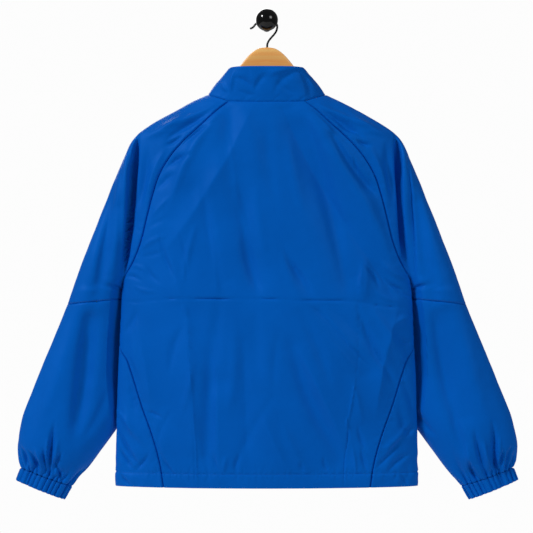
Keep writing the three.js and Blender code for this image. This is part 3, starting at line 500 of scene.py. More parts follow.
def cloth_material(name, color, dark):
    """Nylon: its tone wanders a little, and a fine crinkle and a weave are in its bump."""
    material = solid_material(name, color, 0.5, Specular_IOR_Level=0.22, Specular_Tint=(0.05, 0.3, 1, 1))
    tree = material.node_tree
    shader = tree.nodes["Principled BSDF"]
    place = tree.nodes.new("ShaderNodeTexCoord")
    wander = tree.nodes.new("ShaderNodeTexNoise")
    wander.inputs["Scale"].default_value = 9
    wander.inputs["Detail"].default_value = 5
    tones = tree.nodes.new("ShaderNodeValToRGB")
    tones.color_ramp.elements[0].position = 0.3
    tones.color_ramp.elements[0].color = (*dark, 1)
    tones.color_ramp.elements[1].position = 0.7
    tones.color_ramp.elements[1].color = (*color, 1)
    fine = tree.nodes.new("ShaderNodeTexNoise")
    fine.inputs["Scale"].default_value = 130
    fine.inputs["Detail"].default_value = 4
    fine.inputs["Roughness"].default_value = 0.6
    weave = tree.nodes.new("ShaderNodeTexVoronoi")
    weave.inputs["Scale"].default_value = 1600
    crinkle_bump = tree.nodes.new("ShaderNodeBump")
    crinkle_bump.inputs["Strength"].default_value = 0.35
    crinkle_bump.inputs["Distance"].default_value = 0.0006
    weave_bump = tree.nodes.new("ShaderNodeBump")
    weave_bump.inputs["Strength"].default_value = 0.15
    weave_bump.inputs["Distance"].default_value = 0.0001
    for texture in (wander, fine, weave):
        tree.links.new(place.outputs["Object"], texture.inputs["Vector"])
    tree.links.new(wander.outputs["Fac"], tones.inputs["Fac"])
    tree.links.new(tones.outputs["Color"], shader.inputs["Base Color"])
    tree.links.new(weave.outputs["Distance"], weave_bump.inputs["Height"])
    tree.links.new(fine.outputs["Fac"], crinkle_bump.inputs["Height"])
    tree.links.new(weave_bump.outputs["Normal"], crinkle_bump.inputs["Normal"])
    tree.links.new(crinkle_bump.outputs["Normal"], shader.inputs["Normal"])
    return material


nylon = cloth_material("royal_blue_nylon", (0.0008, 0.115, 0.545), (0.0006, 0.102, 0.49))

# The back: one panel from the collar to the turned hem. Its raglan seams run from the neck to the underarms, and
# below them its side seams slant in across the back. It was packed folded, which left two upright creases and
# one level one; soft folds fall from the neck and the shoulders.
HEM_Z, HEM_STITCH_Z = -834.5, -809.5
HEM_WALL = 2.4
UNDERARM = (250.0, -481.0)
RAGLAN = [  # row, seam behind (x, z), shoulder ridge (x, z), seam in front (x, z)
    (0, 68.4, -145.5, 106, -131.8, 66, -167), (1, 92, -163.8, 140, -148, 88, -183),
    (2, 115.7, -185.9, 178.5, -169, 110, -202), (3, 135.4, -203.8, 207, -185.5, 130, -220),
    (4, 152.1, -219.7, 228, -199.7, 146, -236), (5, 175.9, -248.3, 241.5, -214, 166, -261),
    (6, 193.4, -278.8, 256, -244, 181, -289), (7, 204.8, -312.9, 272, -281, 192, -321),
    (8, 215.4, -353.8, 289.5, -325, 203, -359), (9, 224.8, -392.4, 308.5, -373, 213, -395),
    (10, 238.8, -429, 328, -422.5, 226, -429), (11, 253.6, -455, 341, -458, 235, -455),
]
RAGLAN_TIP = {"back_z": -471.0, "front": (242.0, -471.0), "ridge": (346.3, -473.0)}
NECK_SAG = {"back": 1.6, "front": 25.0}
SIDE_SEAM = [(-834.5, 184.2), (-793, 190.8), (-740, 205.8), (-693, 223), (-619, 247), (-577, 264.5)]
raglan = {name: column(RAGLAN, k + 1) for k, name in enumerate(
    ["back_x", "back_z", "ridge_x", "ridge_z", "front_x", "front_z"]
)}
# Creases of the back: x and z of both ends, how far the middle bows, half width, depth, sharpness
BACK_CREASES = [
    (-65, -158, -58, -328, 7, 16, -1.8, 0), (-40, -160, -16, -270, -3, 14, 1.0, 0), (-52, -290, -30, -370, 0, 8, -1.2, 0),
    (-42, -386, -15, -482, 3, 9, -2.0, 0), (-112, -298, -82, -480, 2, 9, -2.0, 0), (-20, -300, -4, -430, 2, 11, 1.2, 0),
    (-88, -168, -168, -318, 9, 9, 2.4, 0), (-100, -186, -146, -220, 2, 6, -2.8, 0.2), (-134, -242, -176, -262, 3, 6, -2.4, 0.2),
    (-162, -276, -196, -304, 3, 6, -1.6, 0.1), (-172, -318, -210, -360, 2, 4, 1.0, 0.2), (-176, -356, -212, -372, 2, 3, -0.9, 0.4),
    (-178, -386, -228, -412, 4, 4, 1.0, 0.3), (-184, -414, -222, -422, -2, 3, -0.9, 0.4), (-190, -390, -160, -464, 4, 4, -1.8, 0.3),
    (-154, -380, -142, -466, -3, 3, -1.0, 0.4), (-126, -370, -148, -468, 3, 6, 1.2, 0), (-244, -438, -212, -452, -3, 3, 0.8, 0.3),
    (-258, -458, -222, -468, -4, 3, -1.0, 0.3), (-236, -476, -196, -486, 3, 4, 0.8, 0.2), (-216, -440, -190, -470, 3, 4, -1.3, 0.3),
    (74, -170, 219, -418, -10, 13, 2.4, 0), (70, -182, 140, -480, -8, 13, -2.6, 0), (116, -206, 200, -314, 8, 9, -2.8, 0.1),
    (155, -246, 163, -274, 1, 2.5, -1.0, 0.5), (38, -431, 78, -490, -3, 5, -1.8, 0.3), (28, -410, 60, -500, 4, 8, 1.2, 0),
    (173, -434, 166, -492, 2, 3, 1.8, 0.3), (176, -440, 201, -478, -3, 4, -2.2, 0.3), (214, -464, 250, -484, 4, 4, -2.0, 0.3),
    (204, -430, 250, -462, 5, 6, 1.6, 0.1), (228, -486, 262, -498, -3, 4, -1.6, 0.3), (196, -488, 236, -502, 3, 5, 1.2, 0.2),
    (77, -509, 118, -550, -3, 3.5, -1.5, 0.4), (112, -541, 189, -624, 2, 3.5, -1.6, 0.4), (104, -560, 170, -632, 3, 3, 0.9, 0.5),
    (63, -527, 110, -646, -4, 10, -1.8, 0), (45, -580, 132, -778, 10, 13, -2.8, 0), (166, -524, 228, -650, 5, 7, -3.0, 0.2),
    (190, -520, 244, -618, -3, 9, 1.8, 0), (226, -546, 262, -534, -5, 6, 1.6, 0.1), (232, -566, 262, -578, 3, 5, -1.5, 0.2),
    (240, -590, 256, -620, 2, 5, 1.0, 0.1), (-83, -495, -103, -770, 6, 13, -2.8, 0), (-58, -540, -66, -690, -5, 10, 1.4, 0),
    (13, -668, -56, -796, 4, 9, -0.9, 0.1), (20, -560, 12, -660, 2, 8, -0.9, 0.1), (-150, -548, -172, -624, 4, 7, -1.6, 0.1),
    (-130, -600, -150, -700, -4, 6, 1.2, 0.1), (-216, -700, -186, -711, -2, 3.5, -1.4, 0.3), (-204, -740, -190, -772, 2, 3.5, -1.5, 0.3),
    (-192, -772, -164, -812, 2, 3.5, -1.8, 0.3), (-172, -700, -196, -776, 5, 7, -1.4, 0.1), (-240, -560, -222, -640, 4, 8, 1.2, 0),
    (-232, -520, -256, -560, -3, 6, -1.3, 0.1), (162, -728, 177, -768, 2, 4, -1.5, 0.2), (168, -768, 181, -806, 2, 4, -1.6, 0.2),
    (150, -760, 158, -808, -2, 3.5, 1.2, 0.2), (-94, -776, -84, -808, 2, 4, -1.4, 0.2), (-70, -778, -76, -806, 2, 4, 1.2, 0.2),
    (-48, -774, -56, -806, 2, 4, -1.4, 0.2), (60, -786, 66, -808, 1, 4, -1.0, 0.2), (100, -780, 112, -808, 2, 4, -1.3, 0.2),
    (-20, -520, -14, -640, 4, 12, -1.0, 0), (30, -720, 70, -800, 5, 9, 1.2, 0), (-128, -690, -112, -800, 3, 8, 1.0, 0),
    (0, -190, 14, -330, 3, 12, -1.0, 0), (40, -210, 66, -340, 4, 12, 1.2, 0),
]
# Crisp folds of the back: x and z of both ends, bow, width on the right and on the left of the line, depth
BACK_FACETS = [
    (-140, -499, -129.5, -832, -1, 12, 22, 1.7), (-101.6, -345, -86, -496, 1, 13, 9, 1.7), (-52, -340, -16, -490, 3, 8, 13, -1.7),
    (26, -400, 81.5, -498, -3, 8, 13, -1.5), (178, -429, 172, -498, 1, 10, 15, 2.0), (180, -430, 227, -496, 3, 9, 10, -1.5),
    (92, -512, 175, -611, 2, 12, 22, 1.9), (112, -510, 196, -600, 2, 8, 12, -1.2), (48, -572, 133, -750, 4, 30, 26, 3.2),
    (-95, -540, -86, -812, 2, 22, 24, 2.6), (-40, -550, -33, -800, -2, 24, 22, -1.8), (31, -166, 194, -442, -9, 24, 32, -4.0),
    (82, -165, 184, -296, 4, 9, 20, 2.0), (-30, -168, -178, -410, 9, 30, 36, 3.0), (-176, -420, -150, -500, 2, 9, 14, 1.3),
    (-232, -540, -206, -690, 3, 14, 18, 1.8), (232, -520, 196, -690, -4, 12, 20, 2.2), (-10, -690, 36, -800, -3, 16, 22, 1.4),
    (150, -640, 168, -716, 2, 8, 12, 1.2), (-178, -700, -196, -800, -2, 12, 12, 1.2), (-70, -200, -52, -330, 2, 22, 26, 1.6),
]
# Creases left by folding for packing: one level, two upright, each in short joined stretches
PACKING_CREASES = [
    (-256, -505, -180, -499, 1, 2.0, -0.6, 0.9), (-195, -500, -120, -498, -1, 2.0, -0.7, 0.9),
    (-140, -498, -40, -497.5, 0.6, 2.0, -1.1, 0.9), (-52, -497.6, 40, -499.6, -0.6, 2.0, -0.9, 0.9),
    (28, -499.3, 110, -501.8, 0.5, 2.0, -0.9, 0.9), (98, -501.5, 176, -504.5, -1, 2.0, -1.0, 0.9),
    (160, -503, 262, -515, 3, 2.2, -0.8, 0.9),
    (-143, -496, -137, -590, 1.4, 2.2, 0.8, 0.9), (-138.5, -570, -130, -680, 1, 2.4, 0.8, 0.9),
    (-131.5, -660, -125, -770, 0.8, 2.6, 0.8, 0.9), (-126, -750, -123, -833, 0.5, 2.2, 0.6, 0.9),
    (163, -500, 165, -560, 0.8, 1.8, -0.7, 0.9), (165, -540, 157, -650, -1, 1.8, -0.5, 0.9),
    (158.5, -632, 144, -724, 1, 2.2, 0.8, 0.9), (145, -716, 139, -780, -1.4, 2.2, -0.9, 0.9),
    (139.5, -768, 137, -833, 0.6, 1.8, -0.6, 0.9),
    (-147, -503, -140, -530, 3.5, 2.0, 0.9, 0.6), (143, -708, 149, -733, 4, 2.0, 1.0, 0.6),
]


def calm_roll(distance, above, z):
    """A seam's roll, which dies out at the neck and at the tip of the underarm, where three pieces meet."""
    tip = np.exp(-(((z - RAGLAN_TIP["back_z"]) / 16) ** 2))
    return seam_roll(distance) * np.clip(above / 4, 0, 1) * (1 - 0.85 * tip)


def body_angle(x, z):
    return np.arcsin(np.clip(x / body_half(z), -1, 1))


def seam_turn(angle, z):
    """The angle that half a seam's gap takes on the body."""
    return SEAM / (body_half(z) * np.maximum(np.abs(np.cos(angle)), 0.16))


def side_angle(z):
    """Where the back ends below the underarm, as an angle of the body's section."""
    under = math.pi - float(body_angle(UNDERARM[0], UNDERARM[1]))
    seam_z = np.linspace(HEM_Z, -608, 12)
    seam = body_angle(rising(SIDE_SEAM, seam_z), seam_z)
    heights, angles = [*seam_z, SIDE_SEAM[-1][0], UNDERARM[1]], [*seam, math.pi / 2, under]
    return rising(list(zip(heights, angles)), z)


def panel_rows(name, count_above, count_below):
    """Heights and edge angles of a body panel's rows: down its raglan seam, round the underarm and to the hem."""
    row = np.linspace(0, 11, count_above)
    z, angle = raglan[name + "_z"](row), body_angle(raglan[name + "_x"](row), raglan[name + "_z"](row))
    tip_z = RAGLAN_TIP["back_z"] if name == "back" else RAGLAN_TIP["front"][1]
    tip_angle = math.pi / 2 if name == "back" else float(body_angle(*RAGLAN_TIP["front"]))
    under = float(side_angle(np.array(UNDERARM[1])))
    if name == "front":
        angle, tip_angle = math.pi - angle, math.pi - tip_angle
    step = np.linspace(0, 1, 8)[1:]
    down = np.concatenate([np.linspace(UNDERARM[1], HEM_STITCH_Z, count_below)[1:], np.linspace(HEM_STITCH_Z, HEM_Z, 14)[1:]])
    z_all = np.concatenate([z, z[-1] + (tip_z - z[-1]) * step, tip_z + (UNDERARM[1] - tip_z) * step, down])
    angles = np.concatenate([
        angle, angle[-1] + (tip_angle - angle[-1]) * step, tip_angle + (under - tip_angle) * step, side_angle(down),
    ])
    return z_all, angles, np.concatenate([row, np.full(len(z_all) - len(row), 11.0)])


def crowded(count, pull=0.1):
    """Shares from 0 to 1 that lie closer together at both ends."""
    s = np.linspace(0, 1, count)
    return s - pull * np.sin(2 * np.pi * s)


def body_points(angle, z, side=1):
    """Points of the body's sections: x by the sine of the angle, y by the pillow behind or before the hanger."""
    x = body_half(z) * np.sin(angle)
    way = np.where(np.cos(angle) >= 0, -1, 1)
    return np.stack([x, HANGER_Y + way * body_height(side * x, z, way), z], axis=2)


def puckers(along, away, spacing, reach, depth, seed, first=0.0):
    """Short wrinkles square to a seam: along it they come at uneven steps, away from it each fades out."""
    chance = np.random.default_rng(seed)
    total = np.zeros(along.shape)
    at = first + spacing * chance.uniform(0.2, 1)
    stop = float(along.max())
    while at < stop:
        size, far = 1.15 * depth * chance.uniform(0.2, 1.0), reach * chance.uniform(0.5, 1.4)
        slope, width = chance.uniform(-0.45, 0.45), spacing * chance.uniform(0.18, 0.3)
        across = (along - at - slope * away) / (width * (0.5 + away / far))
        total -= size * np.exp(-(across**2)) * np.exp(-((away / far) ** 2))
        at += spacing * chance.uniform(0.6, 1.5)
    return total * (1 - 0.85 * np.exp(-((away / 2.5) ** 2)))


def hem_lift(below_stitch, along, seed):
    """The hem's turned edge: a groove where it is sewn, a slight swell below and small puckers round the groove."""
    groove = -1.3 * np.exp(-((below_stitch / 1.6) ** 2))
    swell = np.where(below_stitch > 0, 0.9 * np.sin(np.clip(below_stitch / 25, 0, 1) * np.pi) ** 0.6, 0)
    return groove + swell + puckers(along, np.abs(below_stitch), 9, 9, 1.7, seed)


back_z, back_edge, back_row = panel_rows("back", 109, 114)
back_edge = back_edge - seam_turn(back_edge, back_z)
angle = back_edge[:, None] * (2 * crowded(291)[None, :] - 1)
sag = NECK_SAG["back"] * np.clip(1 - back_row / 2, 0, 1)[:, None]
z = back_z[:, None] - sag * np.clip(1 - (np.sin(angle) / np.sin(back_edge[:, None])) ** 2, 0, 1)
back_grid = body_points(angle, z)
x, z = back_grid[..., 0], back_grid[..., 2]
left, right, above, below = from_edges(back_grid)
edge = np.minimum(left, right)
lift = 0.72 * sum(crease(x, z, *row) for row in BACK_CREASES) + sum(facet(x, z, *row) for row in BACK_FACETS)
lift = lift + sum(crease(x, z, *row) for row in PACKING_CREASES)
lift = lift * np.clip(edge / 14, 0, 1) * np.clip(above / 14, 0, 1)
lift += calm_roll(edge, above, z) + seam_roll(above, 0.8)
raglan_part = np.clip((z + 478) / 20, 0, 1)
side_part = 1 - raglan_part
for distance, seed in ((left, 3), (right, 4)):
    lift += puckers(above, distance, 7.5, 12, 0.9, seed) * raglan_part
    lift += puckers(above, distance, 11, 10, 1.1, seed + 10) * side_part * (z > HEM_STITCH_Z)
lift += 0.28 * crinkle(x, z, 1, 70) * np.clip(edge / 20, 0, 1) * np.clip(above / 10, 0, 1)
lift += 0.09 * crinkle(x, z, 2, 22)
lift += hem_lift(HEM_STITCH_Z - z, x + 300, 5) * (z < HEM_STITCH_Z + 40)
hem_wall = np.where(z < HEM_STITCH_Z, HEM_WALL, WALL)
back, back_cloth = cloth_shell("back_panel", back_grid, lift, wall=hem_wall)
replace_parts(back, "back")


# The thread of all topstitching: one short raised lozenge of blue polyester for each stitch.
STITCH = {"pitch": 3.2, "length": 2.3, "half": 0.3, "rise": 0.32}
thread = solid_material("blue_thread", (0.004, 0.07, 0.33), 0.55)


def stitches(name, line, outward, material=None):
    """Lozenges at even steps along a line of points, each laid along it and raised along the outward directions."""
    step = np.linalg.norm(np.diff(line, axis=0), axis=1)
    along = np.concatenate([[0], np.cumsum(step)])
    place = np.arange(STITCH["pitch"] / 2, along[-1] - STITCH["pitch"] / 2, STITCH["pitch"])
    at = np.stack([np.interp(place, along, line[:, k]) for k in range(3)], axis=1)
    to = np.stack([np.interp(place + 0.5, along, line[:, k]) for k in range(3)], axis=1)
    up = np.stack([np.interp(place, along, outward[:, k]) for k in range(3)], axis=1)
    up /= np.linalg.norm(up, axis=1)[:, None]
    run = to - at
    run /= np.linalg.norm(run, axis=1)[:, None]
    side = np.cross(up, run)
    half, wide, rise = STITCH["length"] / 2, STITCH["half"], STITCH["rise"]
    corner = [at - run * half, at + run * half, at - side * wide, at + side * wide, at + up * rise, at - up * 0.2]
    points = np.stack(corner, axis=1).reshape(-1, 3)
    one = np.array([(0, 2, 4), (2, 1, 4), (1, 3, 4), (3, 0, 4), (2, 0, 5), (1, 2, 5), (3, 1, 5), (0, 3, 5)])
    faces = (one[None] + 6 * np.arange(len(at))[:, None, None]).reshape(-1, 3)
    return mesh_piece(name, points, faces.tolist(), material or thread, sharp=20)


def stitch_row(name, cloth, row, drop=0.0):
    """A row of stitches along one row of a piece's outer points, moved down the cloth by so many millimetres."""
    out = directions(cloth)
    down = cloth[min(row + 1, len(cloth) - 1)] - cloth[row]
    down /= np.maximum(np.linalg.norm(down, axis=1), 1e-9)[:, None]
    return stitches(name, cloth[row] + down * drop, out[row])


hem_row = int(np.argmin(np.abs(back_z - HEM_STITCH_Z)))
stitch_row("back_hem_stitches", back_cloth, hem_row)

# The fronts: a panel on each side of the zip, cut like the back with a lower neck and wrapped round the side to
# the slanting seams. Soft folds hang from the shoulders, and short ones are drawn up by the hem and side seams.
ZIP_HALF = 3.2
FRONT_CREASES = [
    (70, -200, 190, -420, -6, 12, 2.6, 0), (120, -230, 170, -330, 5, 9, -2.6, 0), (90, -260, 120, -480, 6, 12, -2.4, 0),
    (-75, -200, -180, -400, 6, 12, 2.4, 0), (-125, -240, -172, -340, -4, 9, -2.4, 0), (-85, -280, -112, -500, -5, 12, -2.2, 0),
    (140, -560, 118, -790, 6, 12, -2.8, 0), (60, -520, 80, -760, 5, 13, -2.2, 0), (200, -520, 186, -640, 3, 8, -1.8, 0),
    (-150, -570, -126, -780, -6, 12, -2.8, 0), (-66, -500, -84, -740, -5, 13, -2.2, 0), (-205, -540, -190, -650, -3, 8, -1.8, 0),
    (30, -700, 70, -800, 3, 6, -1.6, 0.2), (-28, -690, -60, -800, 3, 6, -1.6, 0.2),
    (110, -420, 200, -470, 4, 6, -1.6, 0.2), (-105, -430, -210, -468, 4, 6, -1.6, 0.2),
]
# Creases of the side strips that show from behind, in front of the slanting seams
SIDE_CREASES = [
    (192, -800, 238, -752, 3, 4, -1.6, 0.3), (215, -806, 258, -775, -3, 4, -1.5, 0.3), (246, -744, 268, -719, 2, 5, -1.3, 0.2),
    (236, -690, 258, -744, 4, 7, -1.0, 0), (244, -650, 262, -700, -3, 7, -1.0, 0.1), (206, -768, 250, -728, 3, 5, 1.0, 0.2),
    (-238, -806, -209, -772, 3, 3.5, -1.4, 0.3),
    (-268, -730, -228, -796, 5, 5, -2.0, 0.2), (-262, -768, -240, -800, 3, 4, -1.8, 0.3), (-256, -690, -224, -752, 4, 7, 1.2, 0),
    (-247, -640, -236, -704, -3, 7, -1.2, 0), (-268, -700, -240, -742, -4, 5, 1.2, 0.1),
    (-262, -812, -244, -832, 2, 3, -1.2, 0.3), (236, -812, 252, -832, -2, 3, -1.0, 0.3),
]
FRONT_PACKING = [
    (-262, -498, -120, -500, 1, 2.2, -0.8, 0.9), (-130, -500, -6, -499, -0.8, 2.2, -0.8, 0.9),
    (6, -500, 130, -501, 0.8, 2.2, -0.8, 0.9), (120, -501, 262, -503, -1, 2.2, -0.8, 0.9),
    (-134, -500, -126, -830, 1, 2.2, -0.8, 0.9), (136, -500, 130, -830, -1, 2.2, -0.8, 0.9),
]


def on_side(grid, side):
    """A grid that was worked out at +X, turned over in the centre plane for the other side."""
    return grid if side > 0 else (grid * [-1, 1, 1])[:, ::-1]


def front_grid(side):
    z, edge, row = panel_rows("front", 85, 96)
    start = (edge + seam_turn(edge, z))[:, None]
    sag = NECK_SAG["front"] * np.clip(1 - row / 6, 0, 1)
    end = math.pi - body_angle(ZIP_HALF, z - sag)[:, None]
    angle = start + (end - start) * crowded(131)[None, :]
    low = sag[:, None] * np.clip(1 - (np.sin(angle) / np.sin(start)) ** 2, 0, 1)
    return on_side(body_points(angle, z[:, None] - low, side), side), z


for side, side_name in ((1, "right"), (-1, "left")):
    grid, front_z = front_grid(side)
    x, y, z = grid[..., 0], grid[..., 1], grid[..., 2]
    left, right, above, below = from_edges(grid)
    seam_distance, zip_distance = (left, right) if side > 0 else (right, left)
    ahead = y > HANGER_Y + 3
    lift = np.where(ahead, sum(crease(x, z, *row) for row in FRONT_CREASES + FRONT_PACKING), 0)
    lift += np.where(ahead, 0, sum(crease(x, z, *row) for row in SIDE_CREASES))
    lift += np.where(ahead, 0, 0.4 * crinkle(x, z, 33 + side, 26) * np.clip((-680 - z) / 100, 0, 1))
    lift *= np.clip(seam_distance / 10, 0, 1) * np.clip(zip_distance / 20, 0, 1) * np.clip(above / 14, 0, 1)
    lift += calm_roll(seam_distance, above, z) + seam_roll(above, 0.8) + seam_roll(zip_distance, 0.6)
    raglan_part = np.clip((z + 478) / 20, 0, 1)
    lift += puckers(above, seam_distance, 13, 14, 1.3, 20 + side) * raglan_part
    lift += puckers(above, seam_distance, 10, 12, 1.7, 23 + side) * (1 - raglan_part) * (z > HEM_STITCH_Z)
    lift += puckers(above, zip_distance, 19, 16, 0.7, 26 + side)
    lift += 0.25 * crinkle(x, z, 7 + side, 70) * np.clip(seam_distance / 20, 0, 1) * np.clip(above / 10, 0, 1)
    lift += 0.08 * crinkle(x, z, 9, 22)
    lift += hem_lift(HEM_STITCH_Z - z, np.abs(x) + 300 * (y > HANGER_Y), 30 + side) * (z < HEM_STITCH_Z + 40)
    beside_sleeve = ahead & (np.abs(x) > 190) & (z < -455)
    lift = np.where(beside_sleeve, np.minimum(lift, 0.4), lift)
    wall = np.where(z < HEM_STITCH_Z, HEM_WALL, WALL)
    front, front_cloth = cloth_shell("front_panel_" + side_name, grid, lift, wall=wall)
    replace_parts(front, "front_" + side_name)
    stitch_row("front_hem_stitches_" + side_name, front_cloth, int(np.argmin(np.abs(front_z - HEM_STITCH_Z))))

# The sleeves: raglan, so each goes up over the shoulder to the collar, in two parts with a topstitched seam across
# the arm. They hang beside the body with their inner edges in front of it, and fall into a deep fold under each
# end of the hanger. Beside the raglan seams the cloth is drawn into short wrinkles.
SLEEVE = [  # row, outer edge (x, z), inner edge (x, z), half thickness, how far the inner edge leans forward
    (0, 350, -484, 250, -481, 35, 14), (1, 358.5, -508.5, 237, -497, 35.5, 20), (2, 378, -557, 214, -563, 36, 26),
    (3, 399.5, -609, 211, -627, 36, 27), (4, 421.5, -663, 237, -687, 36, 22), (5, 441.5, -715, 265, -726, 35, 14),
    (6, 451.5, -765, 297, -770, 32, 6), (7, 450, -787, 323, -805, 26, 2), (8, 444.5, -802.5, 350, -836, 16, 0),
]
CUFF_END = (453, -824.5, 363.8, -860.5, 15, 0)
BODY_CLEARANCE, EDGE_CLEARANCE = 2.6, 5.0
sleeve_columns = [column(SLEEVE, k) for k in range(1, 7)]
# Creases of the sleeves behind: x and z of both ends, bow, half width, depth, sharpness; then those in front
SLEEVE_CREASES = [
    (232, -206, 238, -330, -1, 4.5, -4.4, 0.2), (237, -300, 250, -455, 1, 4.5, -4.6, 0.2),
    (-232, -208, -241, -330, 1, 4.5, -4.4, 0.2), (-239, -290, -256, -455, -1, 4.5, -4.4, 0.2),
    (92, -152, 190, -192, 3, 6, 1.4, 0), (100, -166, 170, -208, -3, 6, -2.0, 0), (150, -168, 214, -206, 4, 8, 1.6, 0),
    (186, -232, 214, -330, -4, 9, 1.8, 0), (214, -226, 226, -320, 2, 8, -1.6, 0), (128, -186, 160, -200, 3, 5, -1.6, 0.2),
    (160, -214, 186, -224, 3, 4, -1.6, 0.2), (244, -226, 252, -430, -1, 4.5, 2.2, 0), (253, -240, 264, -468, -1, 4, -2.2, 0.3), (264, -250, 284, -470, 2, 13, -1.6, 0),
    (-92, -152, -186, -192, -3, 6, 1.2, 0), (-100, -168, -176, -212, 3, 6, -2.0, 0), (-150, -170, -214, -208, -4, 8, 1.6, 0),
    (-186, -240, -214, -340, 4, 9, 2.0, 0), (-214, -236, -228, -330, -2, 8, -1.6, 0), (-150, -206, -180, -224, -3, 5, -1.8, 0.2),
    (-250, -232, -259, -410, 1, 4.5, 1.9, 0), (-263, -290, -274, -440, -2, 9, 1.0, 0), (-277, -262, -302, -490, -2, 11, -2.6, 0),
    (297, -486, 338, -730, 4, 15, -3.6, 0), (356, -560, 396, -720, 6, 18, 1.4, 0),
    (334, -690, 356, -780, 4, 9, -1.4, 0), (262, -690, 300, -742, 4, 6, -1.4, 0.1),
    (-316, -486, -342, -740, -4, 15, -3.6, 0), (-356, -550, -398, -700, -5, 18, 1.4, 0),
    (-284, -664, -330, -750, -5, 9, -1.0, 0), (-400, -640, -424, -740, 3, 10, -1.0, 0),
]
FORWARD_CREASES = [
    (110, -180, 200, -206, -3, 8, 2.0, 0), (260, -270, 286, -430, 3, 10, -2.6, 0), (290, -330, 320, -480, 3, 11, 2.0, 0),
    (280, -520, 330, -680, 6, 12, -2.8, 0), (340, -540, 390, -700, 5, 13, 2.0, 0), (300, -640, 350, -770, 5, 10, -2.0, 0),
    (-112, -182, -204, -208, 3, 8, 2.0, 0), (-262, -272, -290, -440, -3, 10, -2.6, 0), (-294, -340, -322, -480, -3, 11, 2.0, 0),
    (-284, -530, -334, -690, -6, 12, -2.8, 0), (-344, -560, -392, -710, -5, 13, 2.0, 0), (-300, -650, -352, -770, -5, 10, -2.0, 0),
]


def round_the_arm(count):
    """For each column of a sleeve: its place from the inner seam (0) to the outer edge (1), and behind or in front."""
    half = np.linspace(0, 1, count // 2 + 1)
    ways = np.concatenate([np.full(len(half), -1), np.full(len(half) - 1, 1)])
    return np.concatenate([half, half[::-1][1:]])[None, :], ways[None, :]


def over_shoulder(seam, ridge, way, openness, side, k):
    """Half rows from the raglan seam over the cloth of body and sleeve to the shoulder ridge."""
    share = openness * np.sin(k * np.pi / 2) + (1 - openness) * (1 - np.cos(k * np.pi)) / 2
    x, z = seam[0] + (ridge[0] - seam[0]) * share, seam[1] + (ridge[1] - seam[1]) * share
    miss = HANGER_Y + way * body_height(side * seam[0], seam[1], way) - cloth_y(side * seam[0], seam[1], way)
    y = cloth_y(side * x, z, way) + miss * np.clip(1 - share / 0.15, 0, 1) ** 2
    apart = np.maximum(way * (y - HANGER_Y), 3 * np.sqrt(np.clip(1 - share, 0, 1)))
    return np.stack([x, np.where(k == 1, HANGER_Y, HANGER_Y + way * apart), z], axis=2)


def clear_of_body(x, z, side):
    """How far forward the inner side of a sleeve has to be, to stay clear of the body."""
    half = body_half(z)
    inside = np.minimum(x - EDGE_CLEARANCE, half - 0.01)
    past = np.maximum(0, x - EDGE_CLEARANCE - half)
    return HANGER_Y + body_height(side * inside, z, 1) + BODY_CLEARANCE - 1.6 * past


def ring(sizes, way, side, k, depth=0.0):
    """Rings of a sleeve below the underarm, each a flattened tube that leans forward at its inner edge."""
    outer_x, outer_z, inner_x, inner_z, half, lean = sizes
    share = (1 - np.cos(k * np.pi)) / 2
    inner_y = np.maximum(HANGER_Y + lean, clear_of_body(inner_x, inner_z, side) + 2)
    x, z = inner_x + (outer_x - inner_x) * share, inner_z + (outer_z - inner_z) * share
    middle = HANGER_Y + (inner_y - HANGER_Y) * (1 - share) ** 1.5
    folds = relief(SLEEVE_FOLDS, side * x, z) * fade(2 * share - 1)
    y = middle + way * np.maximum(half * pillow(2 * share - 1) + folds + depth, 0)
    y = np.where(way < 0, np.maximum(y, clear_of_body(x, z, side)), y)
    return np.stack([x, y + np.where(k == 0, way * SEAM, 0), z], axis=2)


def joined(keys, steps, k):
    """Rows between key rows: straight near the inner seam, and beyond it on a curve through all the keys."""
    t = np.linspace(1, len(keys) - 1, steps * (len(keys) - 2) + 1)[1:]
    keys = np.concatenate([keys, 2 * keys[-1:] - keys[-2:-1]])
    i = np.minimum(t.astype(int), len(keys) - 3)
    s = (t - i)[:, None, None]
    a, b, c, d = (keys[i + j - 1] for j in range(4))
    curve = 0.5 * (2 * b + (c - a) * s + (2 * a - 5 * b + 4 * c - d) * s**2 + (3 * b - a - 3 * c + d) * s**3)
    straight = np.clip(1 - k / 0.2, 0, 1)[..., None]
    return curve * (1 - straight) + (b + (c - b) * s) * straight


